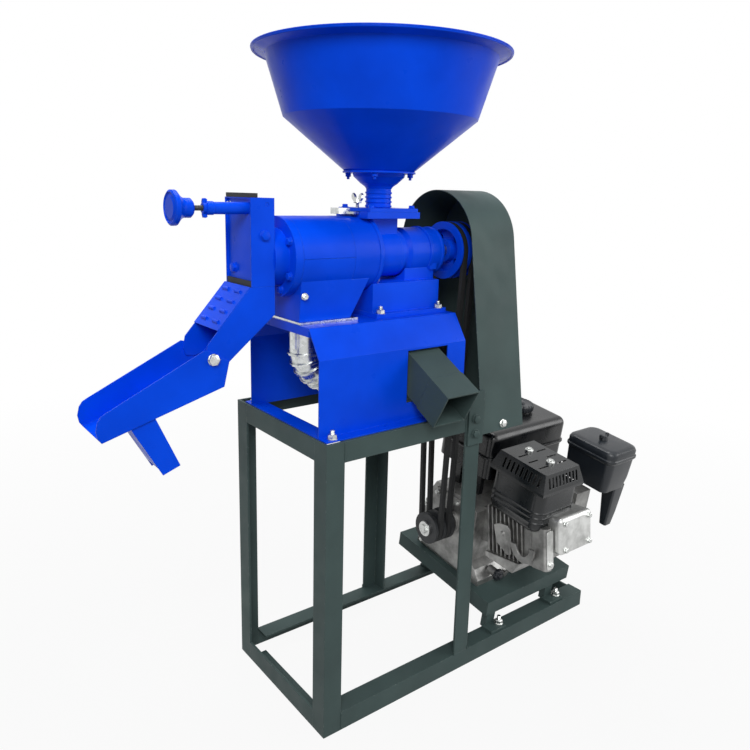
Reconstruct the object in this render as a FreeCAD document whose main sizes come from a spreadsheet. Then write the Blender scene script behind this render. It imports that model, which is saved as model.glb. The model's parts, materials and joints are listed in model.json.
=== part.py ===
"""Rice huller on an angle-iron stand, driven by a small petrol engine through two belts.

Frame of reference: the origin is the bottom corner of the stand at its front left foot. X runs along the
machine from the rice chute towards the engine, Y runs from the front (fan outlet, cylinder head) to the back,
and Z is up. All sizes are millimetres.
"""

import FreeCAD, Part
import math
import os

import Sketcher

Vector = FreeCAD.Vector
X_AXIS = Vector(1, 0, 0)
Y_AXIS = Vector(0, 1, 0)
Z_AXIS = Vector(0, 0, 1)

doc = FreeCAD.newDocument("rice_huller")

# ---------------------------------------------------------------- driving dimensions

SIZES = {
    # stand
    "stand_length": 700,
    "stand_width": 298,
    "table_height": 525,
    "angle_leg": 35,
    "angle_thick": 4,
    "right_legs_from": 302,
    # folded sheet base of the mill
    "base_left": 4,
    "base_length": 312,
    "base_front": 28,
    "base_back": 252,
    "base_knee": 652,
    "base_top": 698,
    "base_top_inset": 30,
    "base_sheet": 2,
    "base_flange": 22,
    "window_left": 182,
    "window_length": 91,
    "window_bottom": 557,
    "window_height": 91,
    # milling head
    "mill_y": 140,
    "mill_z": 803,
    "casing_radius": 64.5,
    "casing_wall": 2,
    "cover_left": 6,
    "cover_right": 104,
    "casing_right": 162,
    "feed_right": 222,
    "screen_radius": 36,
    "screen_wall": 1.5,
    "shaft_radius": 12.5,
    "housing_radius": 44,
    "housing_left": 222,
    "housing_right": 324,
    "running_gap": 0.06,
    "moving_gap": 0.3,
    # feed hopper
    "hopper_x": 197,
    "hopper_bottom": 942,
    "hopper_cone": 86,
    "hopper_wall": 106,
    "rim_radius": 217,
    "wall_top_radius": 195,
    "fold_radius": 165,
    "hopper_hole_radius": 60,
    "hopper_sheet": 1.8,
    "neck_radius": 21.8,
    "feed_bore": 19.5,
    "gate_seat": 870,
    "gate_room": 5,
    "gate_width": 44,
    # rice outlet
    "box_left": -73,
    "box_right": -33,
    "box_front": 98,
    "box_width": 85,
    "box_bottom": 762,
    "box_top": 895,
    "box_sheet": 2,
    "knob_radius": 25,
    "knob_y": 116,
    "knob_z": 879,
    "pressure_tube_left": -136,
    "pivot_x": -139,
    "pivot_z": 659,
    # fan
    "fan_z": 603,
    "suction_x": 51,
    "suction_radius": 29.5,
    "fan_radius": 86,
    "fan_left": 188,
    "fan_width": 70,
    "fan_duct_height": 65,
    "fan_duct_length": 190,
    "fan_duct_slope": 28.7,
    "fan_shaft_radius": 8,
    # belts and pulleys
    "belt_one_x": 365,
    "belt_two_x": 387,
    "belt_width": 9.4,
    "belt_depth": 8,
    "mill_pulley_radius": 54,
    "engine_pulley_radius": 33,
    "fan_pulley_radius": 34,
    "guard_left": 341,
    "guard_length": 110.5,
    "guard_radius": 98,
    "guard_y": 147,
    "guard_z": 817,
    "guard_bottom": 478,
    "guard_foot": 150,
    "guard_sheet": 1.5,
    # engine and its plate
    "crank_y": 150,
    "crank_z": 226,
    "engine_tilt": 8,
    "crank_height": 106,
    "crankcase_left": 425,
    "crankcase_length": 135,
    "plate_left": 408,
    "plate_length": 260,
    "plate_front": -151,
    "plate_width": 285,
    "plate_skirt": 32,
    "plate_sheet": 3,
    "cylinder_rise": 14,
}


class Size:
    """A number together with the sheet expression that it comes from."""

    def __init__(self, value, text):
        self.value = float(value)
        self.text = text

    def __add__(self, other):
        other = as_size(other)
        return Size(self.value + other.value, f"({self.text} + {other.text})")

    def __radd__(self, other):
        return as_size(other) + self

    def __sub__(self, other):
        other = as_size(other)
        return Size(self.value - other.value, f"({self.text} - {other.text})")

    def __rsub__(self, other):
        return as_size(other) - self

    def __mul__(self, other):
        other = as_size(other)
        return Size(self.value * other.value, f"({self.text} * {other.text})")

    def __rmul__(self, other):
        return as_size(other) * self

    def __truediv__(self, other):
        other = as_size(other)
        return Size(self.value / other.value, f"({self.text} / {other.text})")

    def __neg__(self):
        return Size(-self.value, f"(0 - {self.text})")


def as_size(number):
    if isinstance(number, Size):
        return number
    return Size(number, f"({float(number):.6f})")


def plain(number):
    """The bare value of a number or a Size."""
    return number.value if isinstance(number, Size) else float(number)


class Sheet:
    """Writes the driving dimensions to the spreadsheet and hands them out as Sizes."""

    def __init__(self, sizes):
        self.table = doc.addObject("Spreadsheet::Sheet", "Sizes")
        for row, (name, number) in enumerate(sizes.items(), start=1):
            self.table.set(f"A{row}", name)
            self.table.set(f"B{row}", str(number))
            self.table.setAlias(f"B{row}", name)
            setattr(self, name, Size(number, f"Sizes.{name}"))


S = Sheet(SIZES)
doc.recompute()

# The drive's places are written for a mill base that ends at this x, and follow its real end.
STANDARD_BASE_END = 316
base_end = S.base_left + S.base_length
drive_shift = base_end - STANDARD_BASE_END
hopper_fold = S.hopper_bottom + S.hopper_cone
hopper_rim = hopper_fold + S.hopper_wall

nodes = {}


def node(label, obj):
    """Registers an object of the document as a separate piece of the machine."""
    obj.Label = label
    nodes[label] = obj
    return obj


# ---------------------------------------------------------------- drawing helpers


def bind(obj, name, number):
    setattr(obj, name, plain(number))
    if isinstance(number, Size):
        obj.setExpression(name, number.text)


def place(obj, x=0, y=0, z=0, axis=Z_AXIS, angle=0):
    obj.Placement = FreeCAD.Placement(
        Vector(plain(x), plain(y), plain(z)), FreeCAD.Rotation(axis, plain(angle))
    )
    for name, number in (("x", x), ("y", y), ("z", z)):
        if isinstance(number, Size):
            obj.setExpression(f"Placement.Base.{name}", number.text)
    return obj


def box(x, y, z, length, width, height):
    obj = doc.addObject("Part::Box", "Box")
    bind(obj, "Length", length)
    bind(obj, "Width", width)
    bind(obj, "Height", height)
    return place(obj, x, y, z)


def rod(direction, x, y, z, radius, length):
    """A cylinder from (x, y, z) along +X, +Y or +Z."""
    obj = doc.addObject("Part::Cylinder", "Rod")
    bind(obj, "Radius", radius)
    bind(obj, "Height", length)
    turn = {"x": (Y_AXIS, 90), "y": (X_AXIS, -90), "z": (Z_AXIS, 0)}[direction]
    return place(obj, x, y, z, *turn)


def fuse(*shapes):
    obj = doc.addObject("Part::MultiFuse", "Fusion")
    obj.Shapes = list(shapes)
    obj.Refine = True
    return obj


def cut(base, *tools):
    obj = doc.addObject("Part::Cut", "Cut")
    obj.Base = base
    obj.Tool = tools[0] if len(tools) == 1 else fuse(*tools)
    obj.Refine = True
    return obj


def common(first, second):
    obj = doc.addObject("Part::MultiCommon", "Common")
    obj.Shapes = [first, second]
    obj.Refine = True
    return obj


def new_body(name):
    return doc.addObject("PartDesign::Body", name)


def plane_of(body, role):
    for feature in body.Origin.OriginFeatures:
        if feature.Role == role:
            return feature
    raise ValueError(role)


def circle(u, v, radius):
    return ("circle", u, v, radius)


def draw(body, role, offset, loops):
    """A sketch on an origin plane of the body, moved by offset along the plane's normal.

    A loop is a circle or a list of corners. Every corner is held by its two distances from the origin.
    """
    sketch = body.newObject("Sketcher::SketchObject", "Sketch")
    sketch.AttachmentSupport = (plane_of(body, role), "")
    sketch.MapMode = "FlatFace"
    sketch.AttachmentOffset = FreeCAD.Placement(Vector(0, 0, plain(offset)), FreeCAD.Rotation())
    if isinstance(offset, Size):
        sketch.setExpression("AttachmentOffset.Base.z", offset.text)

    def hold(kind, geometry, point, number):
        index = sketch.addConstraint(
            Sketcher.Constraint(kind, -1, 1, geometry, point, plain(number))
        )
        if isinstance(number, Size):
            sketch.setExpression(f"Constraints[{index}]", number.text)

    for loop in loops:
        if loop[0] == "circle":
            _, u, v, radius = loop
            ring = Part.Circle(Vector(plain(u), plain(v), 0), Z_AXIS, plain(radius))
            index = sketch.addGeometry(ring)
            hold("DistanceX", index, 3, u)
            hold("DistanceY", index, 3, v)
            limit = sketch.addConstraint(Sketcher.Constraint("Radius", index, plain(radius)))
            if isinstance(radius, Size):
                sketch.setExpression(f"Constraints[{limit}]", radius.text)
            continue
        points = [Vector(plain(u), plain(v), 0) for u, v in loop]
        first = None
        for here, there in zip(points, points[1:] + points[:1]):
            index = sketch.addGeometry(Part.LineSegment(here, there))
            first = index if first is None else first
        count = len(points)
        for step in range(count):
            after = first + (step + 1) % count
            sketch.addConstraint(Sketcher.Constraint("Coincident", first + step, 2, after, 1))
        for step, (u, v) in enumerate(loop):
            hold("DistanceX", first + step, 1, u)
            hold("DistanceY", first + step, 1, v)
    return sketch


def pad(body, role, offset, loops, length):
    feature = body.newObject("PartDesign::Pad", "Pad")
    feature.Profile = draw(body, role, offset, loops)
    bind(feature, "Length", length)
    body.Tip = feature
    return feature


def revolve(body, role, loop, about):
    """Turns a closed outline about the sketch's H_Axis or V_Axis."""
    feature = body.newObject("PartDesign::Revolution", "Revolution")
    sketch = draw(body, role, 0, [loop])
    feature.Profile = sketch
    feature.ReferenceAxis = (sketch, [about])
    feature.Angle = 360
    body.Tip = feature
    return feature


def prism_x(loops, start, length):
    """A body extruded along X from an outline in Y and Z."""
    body = new_body("Prism")
    pad(body, "YZ_Plane", start, loops, length)
    return body


def prism_y(loops, start, end):
    """A body extruded along Y from an outline in X and Z; the XZ plane faces -Y."""
    body = new_body("Prism")
    pad(body, "XZ_Plane", -as_size(end), loops, as_size(end) - start)
    return body


def prism_z(loops, start, length):
    body = new_body("Prism")
    pad(body, "XY_Plane", start, loops, length)
    return body


def turned_x(profile, y, z, shift=0):
    """A body of revolution about a line along X; the profile holds (x, radius) pairs."""
    body = new_body("Turned")
    revolve(body, "XZ_Plane", profile, "H_Axis")
    return place(body, shift, y, z)


def turned_z(profile, x, y):
    """A body of revolution about a vertical line; the profile holds (radius, z) pairs."""
    body = new_body("Turned")
    revolve(body, "XZ_Plane", profile, "V_Axis")
    return place(body, x, y, 0)


def rectangle(u, v, width, height):
    return [(u, v), (u + width, v), (u + width, v + height), (u, v + height)]


def hexagon(u, v, across_flats):
    radius = across_flats / math.sqrt(3)
    turns = [math.radians(60 * step) for step in range(6)]
    return [(u + radius * math.cos(turn), v + radius * math.sin(turn)) for turn in turns]


def carried(obj):
    """Lets a primitive keep its own place inside a holder that can be moved as a whole."""
    if obj.TypeId not in ("Part::Box", "Part::Cylinder"):
        return obj
    holder = doc.addObject("Part::Compound", "Holder")
    holder.Links = [obj]
    return holder


def tilted(obj):
    """Puts a piece drawn about the crank axis in its place on the tilted engine plate."""
    return place(carried(obj), drive_shift, S.crank_y, S.crank_z, X_AXIS, S.engine_tilt)


def rounded(obj, radius, chosen):
    """Part::Fillet on the edges of an object that a test of the edge picks."""
    doc.recompute()
    fillet = doc.addObject("Part::Fillet", "Fillet")
    fillet.Base = obj
    fillet.Edges = [
        (index, radius, radius)
        for index, edge in enumerate(obj.Shape.Edges, start=1)
        if chosen(edge)
    ]
    return fillet


def runs_along(axis):
    def test(edge):
        if len(edge.Vertexes) != 2:
            return False
        step = edge.Vertexes[1].Point - edge.Vertexes[0].Point
        return abs(abs(step.dot(axis)) - step.Length) < 1e-6

    return test


# ---------------------------------------------------------------- stand


def angle_outline(u, v, along_u, along_v):
    """The L of an angle iron whose outer corner is at (u, v)."""
    leg = S.angle_leg
    thick = S.angle_thick
    return [
        (u, v),
        (u + along_u * leg, v),
        (u + along_u * leg, v + along_v * thick),
        (u + along_u * thick, v + along_v * thick),
        (u + along_u * thick, v + along_v * leg),
        (u, v + along_v * leg),
    ]


def make_legs():
    right = S.right_legs_from + S.angle_leg + drive_shift
    rail_top = S.angle_leg
    corners = {
        "leg_front_left": (0, 0, 1, 1, 0),
        "leg_rear_left": (0, S.stand_width, 1, -1, 0),
        "leg_front_right": (right, 0, -1, 1, rail_top),
        "leg_rear_right": (right, S.stand_width, -1, -1, rail_top),
    }
    for label, (x, y, along_x, along_y, start) in corners.items():
        outline = angle_outline(as_size(x), as_size(y), along_x, along_y)
        node(label, prism_z([outline], start, S.table_height - start))


def make_rails():
    leg = S.angle_leg
    thick = S.angle_thick
    back = S.stand_width
    zero = as_size(0)
    end = S.stand_length + drive_shift
    short = angle_outline(end, zero, -1, 1)
    short[4] = (end - thick, leg - thick)
    short[5] = (end, leg - thick)
    node("lower_frame", fuse(
        prism_x([angle_outline(zero, leg, 1, -1)], leg, end - leg),
        prism_x([angle_outline(back, leg, -1, -1)], leg, end - leg),
        prism_y([short], thick, back - thick),
    ))
    node("lower_left_rail", prism_y([angle_outline(zero, zero, 1, 1)], leg, back - leg))

    top = S.table_height
    legs_from = S.right_legs_from + drive_shift
    right = legs_from + leg
    between = legs_from - leg
    ring = fuse(
        prism_x([angle_outline(zero, top, 1, -1)], leg, between),
        prism_x([angle_outline(back, top, -1, -1)], leg, between),
        prism_y([angle_outline(zero, top, 1, -1)], leg, back - leg),
        prism_y([angle_outline(right, top, -1, -1)], leg, back - leg),
        *[
            box(x - 1, y - 1, top - thick, 2, 2, thick)
            for x in (leg, legs_from)
            for y in (leg, back - leg)
        ],
    )
    node("upper_frame", ring)


# ---------------------------------------------------------------- sheet base of the mill


def fold_shift(turn_degrees):
    """How far a fold's inner corner lies along the sheet from its outer corner."""
    return S.base_sheet * math.tan(math.radians(turn_degrees / 2))


def make_base():
    sheet = S.base_sheet
    rise = S.base_top - S.base_knee
    lean = math.degrees(math.atan2(S.base_top_inset.value, rise.value))
    low = fold_shift(lean)
    high = fold_shift(90 - lean)
    floor = S.table_height
    front = S.base_front
    back = S.base_back
    inset = S.base_top_inset
    outline = [
        (front - S.base_flange, floor),
        (front - S.base_flange, floor + sheet),
        (front, floor + sheet),
        (front, S.base_knee),
        (front + inset, S.base_top),
        (back - inset, S.base_top),
        (back, S.base_knee),
        (back, floor + sheet),
        (back + S.base_flange, floor + sheet),
        (back + S.base_flange, floor),
        (back - sheet, floor),
        (back - sheet, S.base_knee - low),
        (back - inset - high, S.base_top - sheet),
        (front + inset + high, S.base_top - sheet),
        (front + sheet, S.base_knee - low),
        (front + sheet, floor),
    ]
    shell = prism_x([outline], S.base_left, S.base_length)
    window = box(
        S.window_left, front - 5, S.window_bottom, S.window_length, 20, S.window_height
    )
    drop = rod("z", S.suction_x, S.mill_y, S.base_top - 10, S.suction_radius + 0.5, 20)
    inside = back - front - 2 * sheet
    strip = 30
    pieces = [
        cut(shell, window, drop),
        box(S.base_left, front + sheet, floor, strip, inside, sheet),
        box(base_end - strip, front + sheet, floor, strip, inside, sheet),
    ]
    for x in (S.base_left + 18, base_end - 18):
        for y in (S.base_front - 11, S.base_back + 17):
            pieces.append(prism_z([hexagon(x, y, 12)], floor + sheet, 7))
    brace_depth = 12
    pieces.append(box(
        S.base_left, front + inset + high, S.base_top - sheet - brace_depth, 4,
        back - front - 2 * inset - 2 * high, brace_depth,
    ))
    node("mill_base", fuse(*pieces))


# ---------------------------------------------------------------- fan under the mill


def fan_box(x, along, across, length, long, deep):
    """A box in the fan's sloping duct frame: along counts back from the fan, across from its axis."""
    obj = doc.addObject("Part::Box", "Duct")
    bind(obj, "Length", length)
    bind(obj, "Width", long)
    bind(obj, "Height", deep)
    slope = math.radians(S.fan_duct_slope.value)
    y = plain(along) * math.cos(slope) - plain(across) * math.sin(slope)
    z = plain(along) * math.sin(slope) + plain(across) * math.cos(slope)
    return place(obj, x, S.mill_y + y, S.fan_z + z, X_AXIS, S.fan_duct_slope)


# How far the suction pipe enters the fan below its axis.
SUCTION_DROP = 7


def make_fan():
    wall = 1.5
    y = S.mill_y
    z = S.fan_z
    left = S.fan_left
    deep = S.fan_duct_height
    low = S.fan_radius - deep
    length = S.fan_duct_length
    lip = 50
    fan_right = left + S.fan_width
    tube_end = base_end + 24
    inner = S.fan_width - 2 * wall
    outside = fuse(
        rod("x", left, y, z, S.fan_radius, S.fan_width),
        fan_box(left, -length, low, S.fan_width, length, deep),
        fan_box(left - 1, -length, low - 1, S.fan_width + 2, lip, deep + 2),
        rod("x", fan_right, y, z, 18, tube_end - fan_right),
        box(base_end, y - 30, S.table_height, 8, 60, z - S.table_height),
    )
    inside = fuse(
        rod("x", left + wall, y, z, S.fan_radius - wall, inner),
        fan_box(left + wall, -length - 5, low + wall, inner, length + 5, deep - 2 * wall),
        rod("x", left - 5, y, z - SUCTION_DROP, S.suction_radius - 1, 10),
        rod("x", left, y, z, S.fan_shaft_radius + S.running_gap, tube_end - left + 10),
    )
    node("fan_housing", cut(outside, inside))

    shaft_left = left + 8
    node("fan_shaft", rod("x", shaft_left, y, z, S.fan_shaft_radius, base_end + 86 - shaft_left))

    blades = 6
    blade_height = 57
    wheel = [
        rod("x", 200, y, z, 16, 46),
        rod("x", 243, y, z, 74, 3),
    ]
    for step in range(blades):
        blade = doc.addObject("Part::Box", "Blade")
        blade.Length = 45
        blade.Width = 2
        blade.Height = blade_height
        turn = math.radians(60 * step)
        place(
            blade, 199, y - 15 * math.sin(turn), z + 15 * math.cos(turn), X_AXIS, 60 * step
        )
        wheel.append(blade)
    bore = rod("x", 190, y, z, S.fan_shaft_radius, 70)
    node("impeller", cut(fuse(*wheel), bore))

    rim = 4
    radius = S.fan_pulley_radius
    near = 354
    far = 398
    profile = [
        (near, S.fan_shaft_radius),
        (far, S.fan_shaft_radius),
        (far, radius + rim),
        (far - 3, radius + rim),
        (far - 3, radius),
        (near + 3, radius),
        (near + 3, radius + rim),
        (near, radius + rim),
    ]
    node("fan_pulley", turned_x(profile, y, z, drive_shift))


def make_suction_duct():
    """Galvanised tray on the base, the pipe under it and the corrugated elbow into the fan."""
    pipe = S.suction_radius.value
    wall = 1.2
    bend = 54
    drop_x = S.suction_x.value
    y = S.mill_y.value
    level_z = S.fan_z.value - SUCTION_DROP
    bend_z = level_z + bend
    bend_x = drop_x + bend
    top = S.base_top.value
    tray_height = 4

    def tube(radius):
        upright = Part.makeCylinder(radius, top + tray_height - bend_z, Vector(drop_x, y, bend_z))
        ring = Part.makeTorus(bend, radius)
        quarter = Part.makeBox(
            bend + 2 * radius, 4 * radius, bend + 2 * radius,
            Vector(drop_x - 2 * radius, y - 2 * radius, level_z - 2 * radius),
        )
        ring.rotate(Vector(0, 0, 0), X_AXIS, 90)
        ring.translate(Vector(bend_x, y, bend_z))
        level = Part.makeCylinder(
            radius, S.fan_left.value - bend_x, Vector(bend_x, y, level_z), X_AXIS
        )
        return upright.fuse([ring.common(quarter), level])

    ribs = []
    rib_long = 4
    rib_high = 3.5
    for step in range(7):
        turn = math.radians(6 + 13 * step)
        centre = Vector(bend_x - bend * math.cos(turn), y, bend_z - bend * math.sin(turn))
        heading = Vector(math.sin(turn), 0, -math.cos(turn))
        ribs.append(Part.makeCylinder(pipe + rib_high, rib_long, centre, heading))
    level_ribs = 6
    spacing = (S.fan_left.value - bend_x - rib_long) / level_ribs
    for step in range(level_ribs):
        start = Vector(bend_x + spacing * (step + 0.5), y, level_z)
        ribs.append(Part.makeCylinder(pipe + rib_high, rib_long, start, X_AXIS))
    tray = Part.makeBox(112, 108, tray_height, Vector(6, y - 54, top))
    shape = tube(pipe).fuse(ribs + [tray]).cut(tube(pipe - wall)).removeSplitter()
    duct = doc.addObject("Part::Feature", "SuctionDuct")
    duct.Shape = shape
    node("suction_duct", duct)


# ---------------------------------------------------------------- milling head


def loft_shape(low, high):
    """A solid between two level rectangles given as (x0, y0, x1, y1, z)."""
    wires = []
    for x0, y0, x1, y1, z in (low, high):
        corners = [Vector(x0, y0, z), Vector(x1, y0, z), Vector(x1, y1, z), Vector(x0, y1, z)]
        wires.append(Part.makePolygon(corners + corners[:1]))
    return Part.makeLoft(wires, True, True)


def make_bran_hopper():
    """Collects the bran below the screen and seats on the galvanised tray."""
    sheet = 2
    y = S.mill_y.value
    axis_z = S.mill_z.value
    radius = S.casing_radius.value
    floor = S.base_top.value + 4
    top = axis_z - 25
    outer = loft_shape((8, y - 46, 108, y + 46, floor), (8, y - 55, 146, y + 55, top))
    inner = loft_shape(
        (8 + sheet, y - 46 + sheet, 108 - sheet, y + 46 - sheet, floor),
        (8 + sheet, y - 55 + sheet, 146 - sheet, y + 55 - sheet, top),
    )
    barrel = Part.makeCylinder(radius, 200, Vector(-20, y, axis_z), X_AXIS)
    walls = outer.cut(inner).cut(barrel)
    left = S.cover_left.value
    right = S.cover_right.value
    half = Part.makeCylinder(radius, right - left, Vector(left, y, axis_z), X_AXIS)
    hollow = Part.makeCylinder(
        radius - S.casing_wall.value, right - left, Vector(left, y, axis_z), X_AXIS
    )
    above = Part.makeBox(300, 300, 100, Vector(-50, y - 150, axis_z))
    mouth = Part.makeBox(right - left - 8, 84, 100, Vector(left + 4, y - 42, axis_z - 100))
    trough = half.cut(hollow).cut(above).cut(mouth)
    pin_y = y + radius + 5.5
    pin = Part.makeCylinder(3, 88, Vector(12, pin_y, axis_z), X_AXIS)
    lugs = []
    for x in (51.5, 83.5):
        lug = Part.makeBox(6, 10, 10, Vector(x, pin_y - 7, axis_z - 10))
        lugs.append(lug.fuse(Part.makeCylinder(5, 6, Vector(x, pin_y, axis_z), X_AXIS)))
    clear = Part.makeCylinder(radius - 1, 200, Vector(-20, y, axis_z), X_AXIS)
    shape = walls.fuse([trough, pin] + [lug.cut(clear) for lug in lugs]).removeSplitter()
    hopper = doc.addObject("Part::Feature", "BranHopper")
    hopper.Shape = shape
    node("bran_hopper", hopper)


def make_roller_cover():
    """Upper half of the screen casing; it swings open on a pin along its rear edge."""
    y = S.mill_y
    z = S.mill_z
    radius = S.casing_radius
    left = S.cover_left
    length = S.cover_right - S.cover_left
    gap = S.moving_gap
    ring = cut(
        rod("x", left, y, z, radius, length),
        rod("x", left - 1, y, z, radius - S.casing_wall, length + 2),
        box(left - 1, y - radius - 1, z - radius - 1, length + 2, 2 * radius + 2, radius + 1 + gap),
        *[box(x, y - 6, z + radius - 5, 9, 5, 10) for x in (19, 55, 89)],
    )
    pin_y = y + radius + 5.5
    knuckles = []
    for x, long in ((20, 28), (60.5, 22), (90.5, 9)):
        arm = box(x, y + radius - 1.5, z + 4.6, long, 7, 3)
        knuckles.append(fuse(rod("x", x, pin_y, z, 5, long), arm))
    bore = rod("x", 0, pin_y, z, 3 + S.running_gap, 120)
    below = box(0, y + radius - 6, z - 10, 120, 6.2, 10 + gap)
    node("roller_cover", cut(fuse(ring, *knuckles), bore, below))


def make_screen():
    radius = S.screen_radius
    inner = radius - S.screen_wall
    y = S.mill_y
    z = S.mill_z
    tube = cut(rod("x", -8, y, z, radius, 120), rod("x", -9, y, z, inner, 122))
    slots = []
    for column in range(4):
        for row in range(3):
            slot = doc.addObject("Part::Box", "Slot")
            slot.Length = 14
            slot.Width = 2
            slot.Height = 90
            turn = 60 * row + 15
            lean = math.radians(turn)
            place(
                slot, 14 + 23 * column, y + 45 * math.sin(lean), z - 45 * math.cos(lean),
                X_AXIS, turn,
            )
            slots.append(slot)
    node("rice_screen", cut(tube, *slots))


def make_feed_body():
    """Casing over the feed screw with the throat and the guides of the slide gate."""
    y = S.mill_y
    z = S.mill_z
    left = S.cover_right + S.moving_gap
    barrel_end = S.casing_right
    seat = S.gate_seat
    hole_x = S.hopper_x
    neck = S.housing_radius - 2
    throat = S.feed_bore + 5
    half_gate = S.gate_width / 2 + 0.4
    half_plate = 46
    plate_left = 140
    plate_long = 114
    plate_thick = 6
    rail = half_plate - half_gate
    stop = 25
    band = 7
    screw_end = S.screen_radius - S.screen_wall
    end_wall = 6
    solid = fuse(
        rod("x", left, y, z, S.casing_radius, barrel_end - left),
        rod("x", barrel_end - band, y, z, S.casing_radius + 1.5, band),
        rod("x", barrel_end, y, z, neck, S.feed_right - barrel_end),
        box(barrel_end - 20, y - throat, z, hole_x + throat - barrel_end + 20, 2 * throat, seat - z),
        box(plate_left, y - half_plate, seat - plate_thick, plate_long, 2 * half_plate, plate_thick),
        box(plate_left, y - half_plate, seat, plate_long, rail, S.gate_room),
        box(plate_left, y + half_gate, seat, plate_long, rail, S.gate_room),
        box(plate_left + plate_long - stop, y - half_plate, seat, stop, 2 * half_plate, S.gate_room),
    )
    node("feed_body", cut(
        solid,
        rod("x", left - 1, y, z, S.screen_radius, 112 - left + 1),
        rod("x", left - 1, y, z, screw_end, S.feed_right - left - end_wall),
        rod("x", left, y, z, S.shaft_radius + 1, 200),
        rod("z", hole_x, y, z, S.feed_bore, 100),
    ))


def make_outlet_ring():
    y = S.mill_y
    z = S.mill_z
    bore = S.screen_radius - S.screen_wall
    pieces = [
        rod("x", -8, y, z, S.casing_radius, S.cover_left - S.moving_gap + 8),
        rod("x", S.box_right, y, z, 46, 25),
    ]
    for turn in (-60, -20, 20, 60, 120, 240):
        angle = math.radians(turn)
        bolt_y = y + 54 * math.sin(angle)
        bolt_z = z - 54 * math.cos(angle)
        pieces.append(rod("x", -14, bolt_y, bolt_z, 5, 7))
    node("outlet_ring", cut(
        fuse(*pieces),
        rod("x", S.box_right - 1, y, z, bore, 60),
        rod("x", -8, y, z, S.screen_radius, 30),
    ))


def make_pedestal():
    """Cast stool that carries the bearing housing on the base."""
    y = S.mill_y
    floor = S.base_top
    left = S.base_left + 146
    long = 150
    body = prism_z([rectangle(left, y - 52, long, 104)], floor, 58)
    flange = box(left - 1, y - 66, floor, long + 8, 132, 8)
    saddle_left = left + 82
    saddle = box(saddle_left, y - 36, floor + 58, left + long - saddle_left, 72, 22)
    hollow = box(left + 6, y - 46, floor, long - 12, 92, 52)
    under_flange = box(left + 6, y - 46, floor - 1, long - 12, 92, 10)
    shape = cut(
        fuse(body, flange, saddle),
        hollow,
        under_flange,
        rod("x", 0, y, S.mill_z, S.housing_radius, 400),
        nodes["bearing_housing"],
        rod("x", 0, y, S.mill_z, S.casing_radius + 2, S.casing_right + 1),
    )
    bolts = []
    for x in (left + 12, left + long - 6):
        for side in (-1, 1):
            bolts.append(prism_z([hexagon(x, y + side * 59, 11)], floor + 8, 6))
    node("pedestal", fuse(shape, *bolts))


def make_bearing_housing():
    y = S.mill_y
    z = S.mill_z
    left = S.housing_left
    right = S.housing_right
    big = S.housing_radius
    flange = big - 2
    seat = 26
    bore = 15
    race_long = 15
    ring = right - 36
    profile = [
        (left, bore), (left, flange), (left + 8, flange), (left + 10, big - 6), (left + 16, big - 6),
        (left + 22, big), (ring - 3, big), (ring - 3, big + 2), (ring + 3, big + 2), (ring + 3, big),
        (right - 12, big), (right - 10, big + 1), (right - 6, big + 1), (right, big - 6),
        (right, seat), (right - race_long - 2, seat), (right - race_long - 2, bore),
        (left + 35, bore), (left + 35, seat), (left + 20, seat), (left + 20, bore),
    ]
    body = turned_x(profile, y, z)
    lug = box(right - 36, y - 40, S.base_top + 75, 16, 12, 16)
    node("bearing_housing", cut(
        fuse(body, lug),
        rod("x", left - 20, y, z, bore, 200),
        rod("x", left + 20, y, z, seat, race_long),
        rod("x", right - race_long - 2, y, z, seat, race_long + 3),
    ))
    inner = 17
    outer = 22
    dish = 1.5
    touch = S.shaft_radius + S.running_gap
    for label, x in (("bearing_inner", left + 20), ("bearing_outer", right - race_long - 2)):
        end = x + race_long
        race = [
            (x, touch), (end, touch), (end, inner), (end - dish, inner), (end - dish, outer),
            (end, outer), (end, seat), (x, seat), (x, outer), (x + dish, outer),
            (x + dish, inner), (x, inner),
        ]
        node(label, turned_x(race, y, z))


def make_main_shaft():
    y = S.mill_y
    z = S.mill_z
    shaft_left = -4
    node("main_shaft", rod("x", shaft_left, y, z, S.shaft_radius, base_end + 90 - shaft_left))

    pieces = [rod("x", -2, y, z, 27, 105)]
    for turn in (0, 180):
        rib = doc.addObject("Part::Box", "Rib")
        rib.Length = 105
        rib.Width = 9
        rib.Height = 31
        angle = math.radians(turn)
        place(
            rib, -2, y - 4.5 * math.cos(angle), z - 4.5 * math.sin(angle), X_AXIS, turn
        )
        pieces.append(rib)
    bore = rod("x", -10, y, z, S.shaft_radius, 130)
    node("milling_roller", cut(fuse(*pieces), bore))

    start = 112
    long = 98
    pitch = 33
    root = 19
    tip = 31
    helix = Part.makeHelix(pitch, long - 8, root)
    edge = Part.makePolygon([
        Vector(root - 2, 0, 0), Vector(tip, 0, 0), Vector(tip, 0, 5), Vector(root - 2, 0, 5),
        Vector(root - 2, 0, 0),
    ])
    sweep = Part.BRepOffsetAPI.MakePipeShell(helix)
    sweep.setFrenetMode(True)
    sweep.add(edge)
    sweep.build()
    sweep.makeSolid()
    flight = sweep.shape()
    core = Part.makeCylinder(root, long)
    hole = Part.makeCylinder(S.shaft_radius.value, long + 2, Vector(0, 0, -1))
    screw = core.fuse(flight).cut(hole)
    auger = doc.addObject("Part::Feature", "FeedScrew")
    auger.Shape = screw
    place(auger, start, y, z, Y_AXIS, 90)
    node("feed_screw", auger)


# ---------------------------------------------------------------- feed hopper and slide gate


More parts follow.
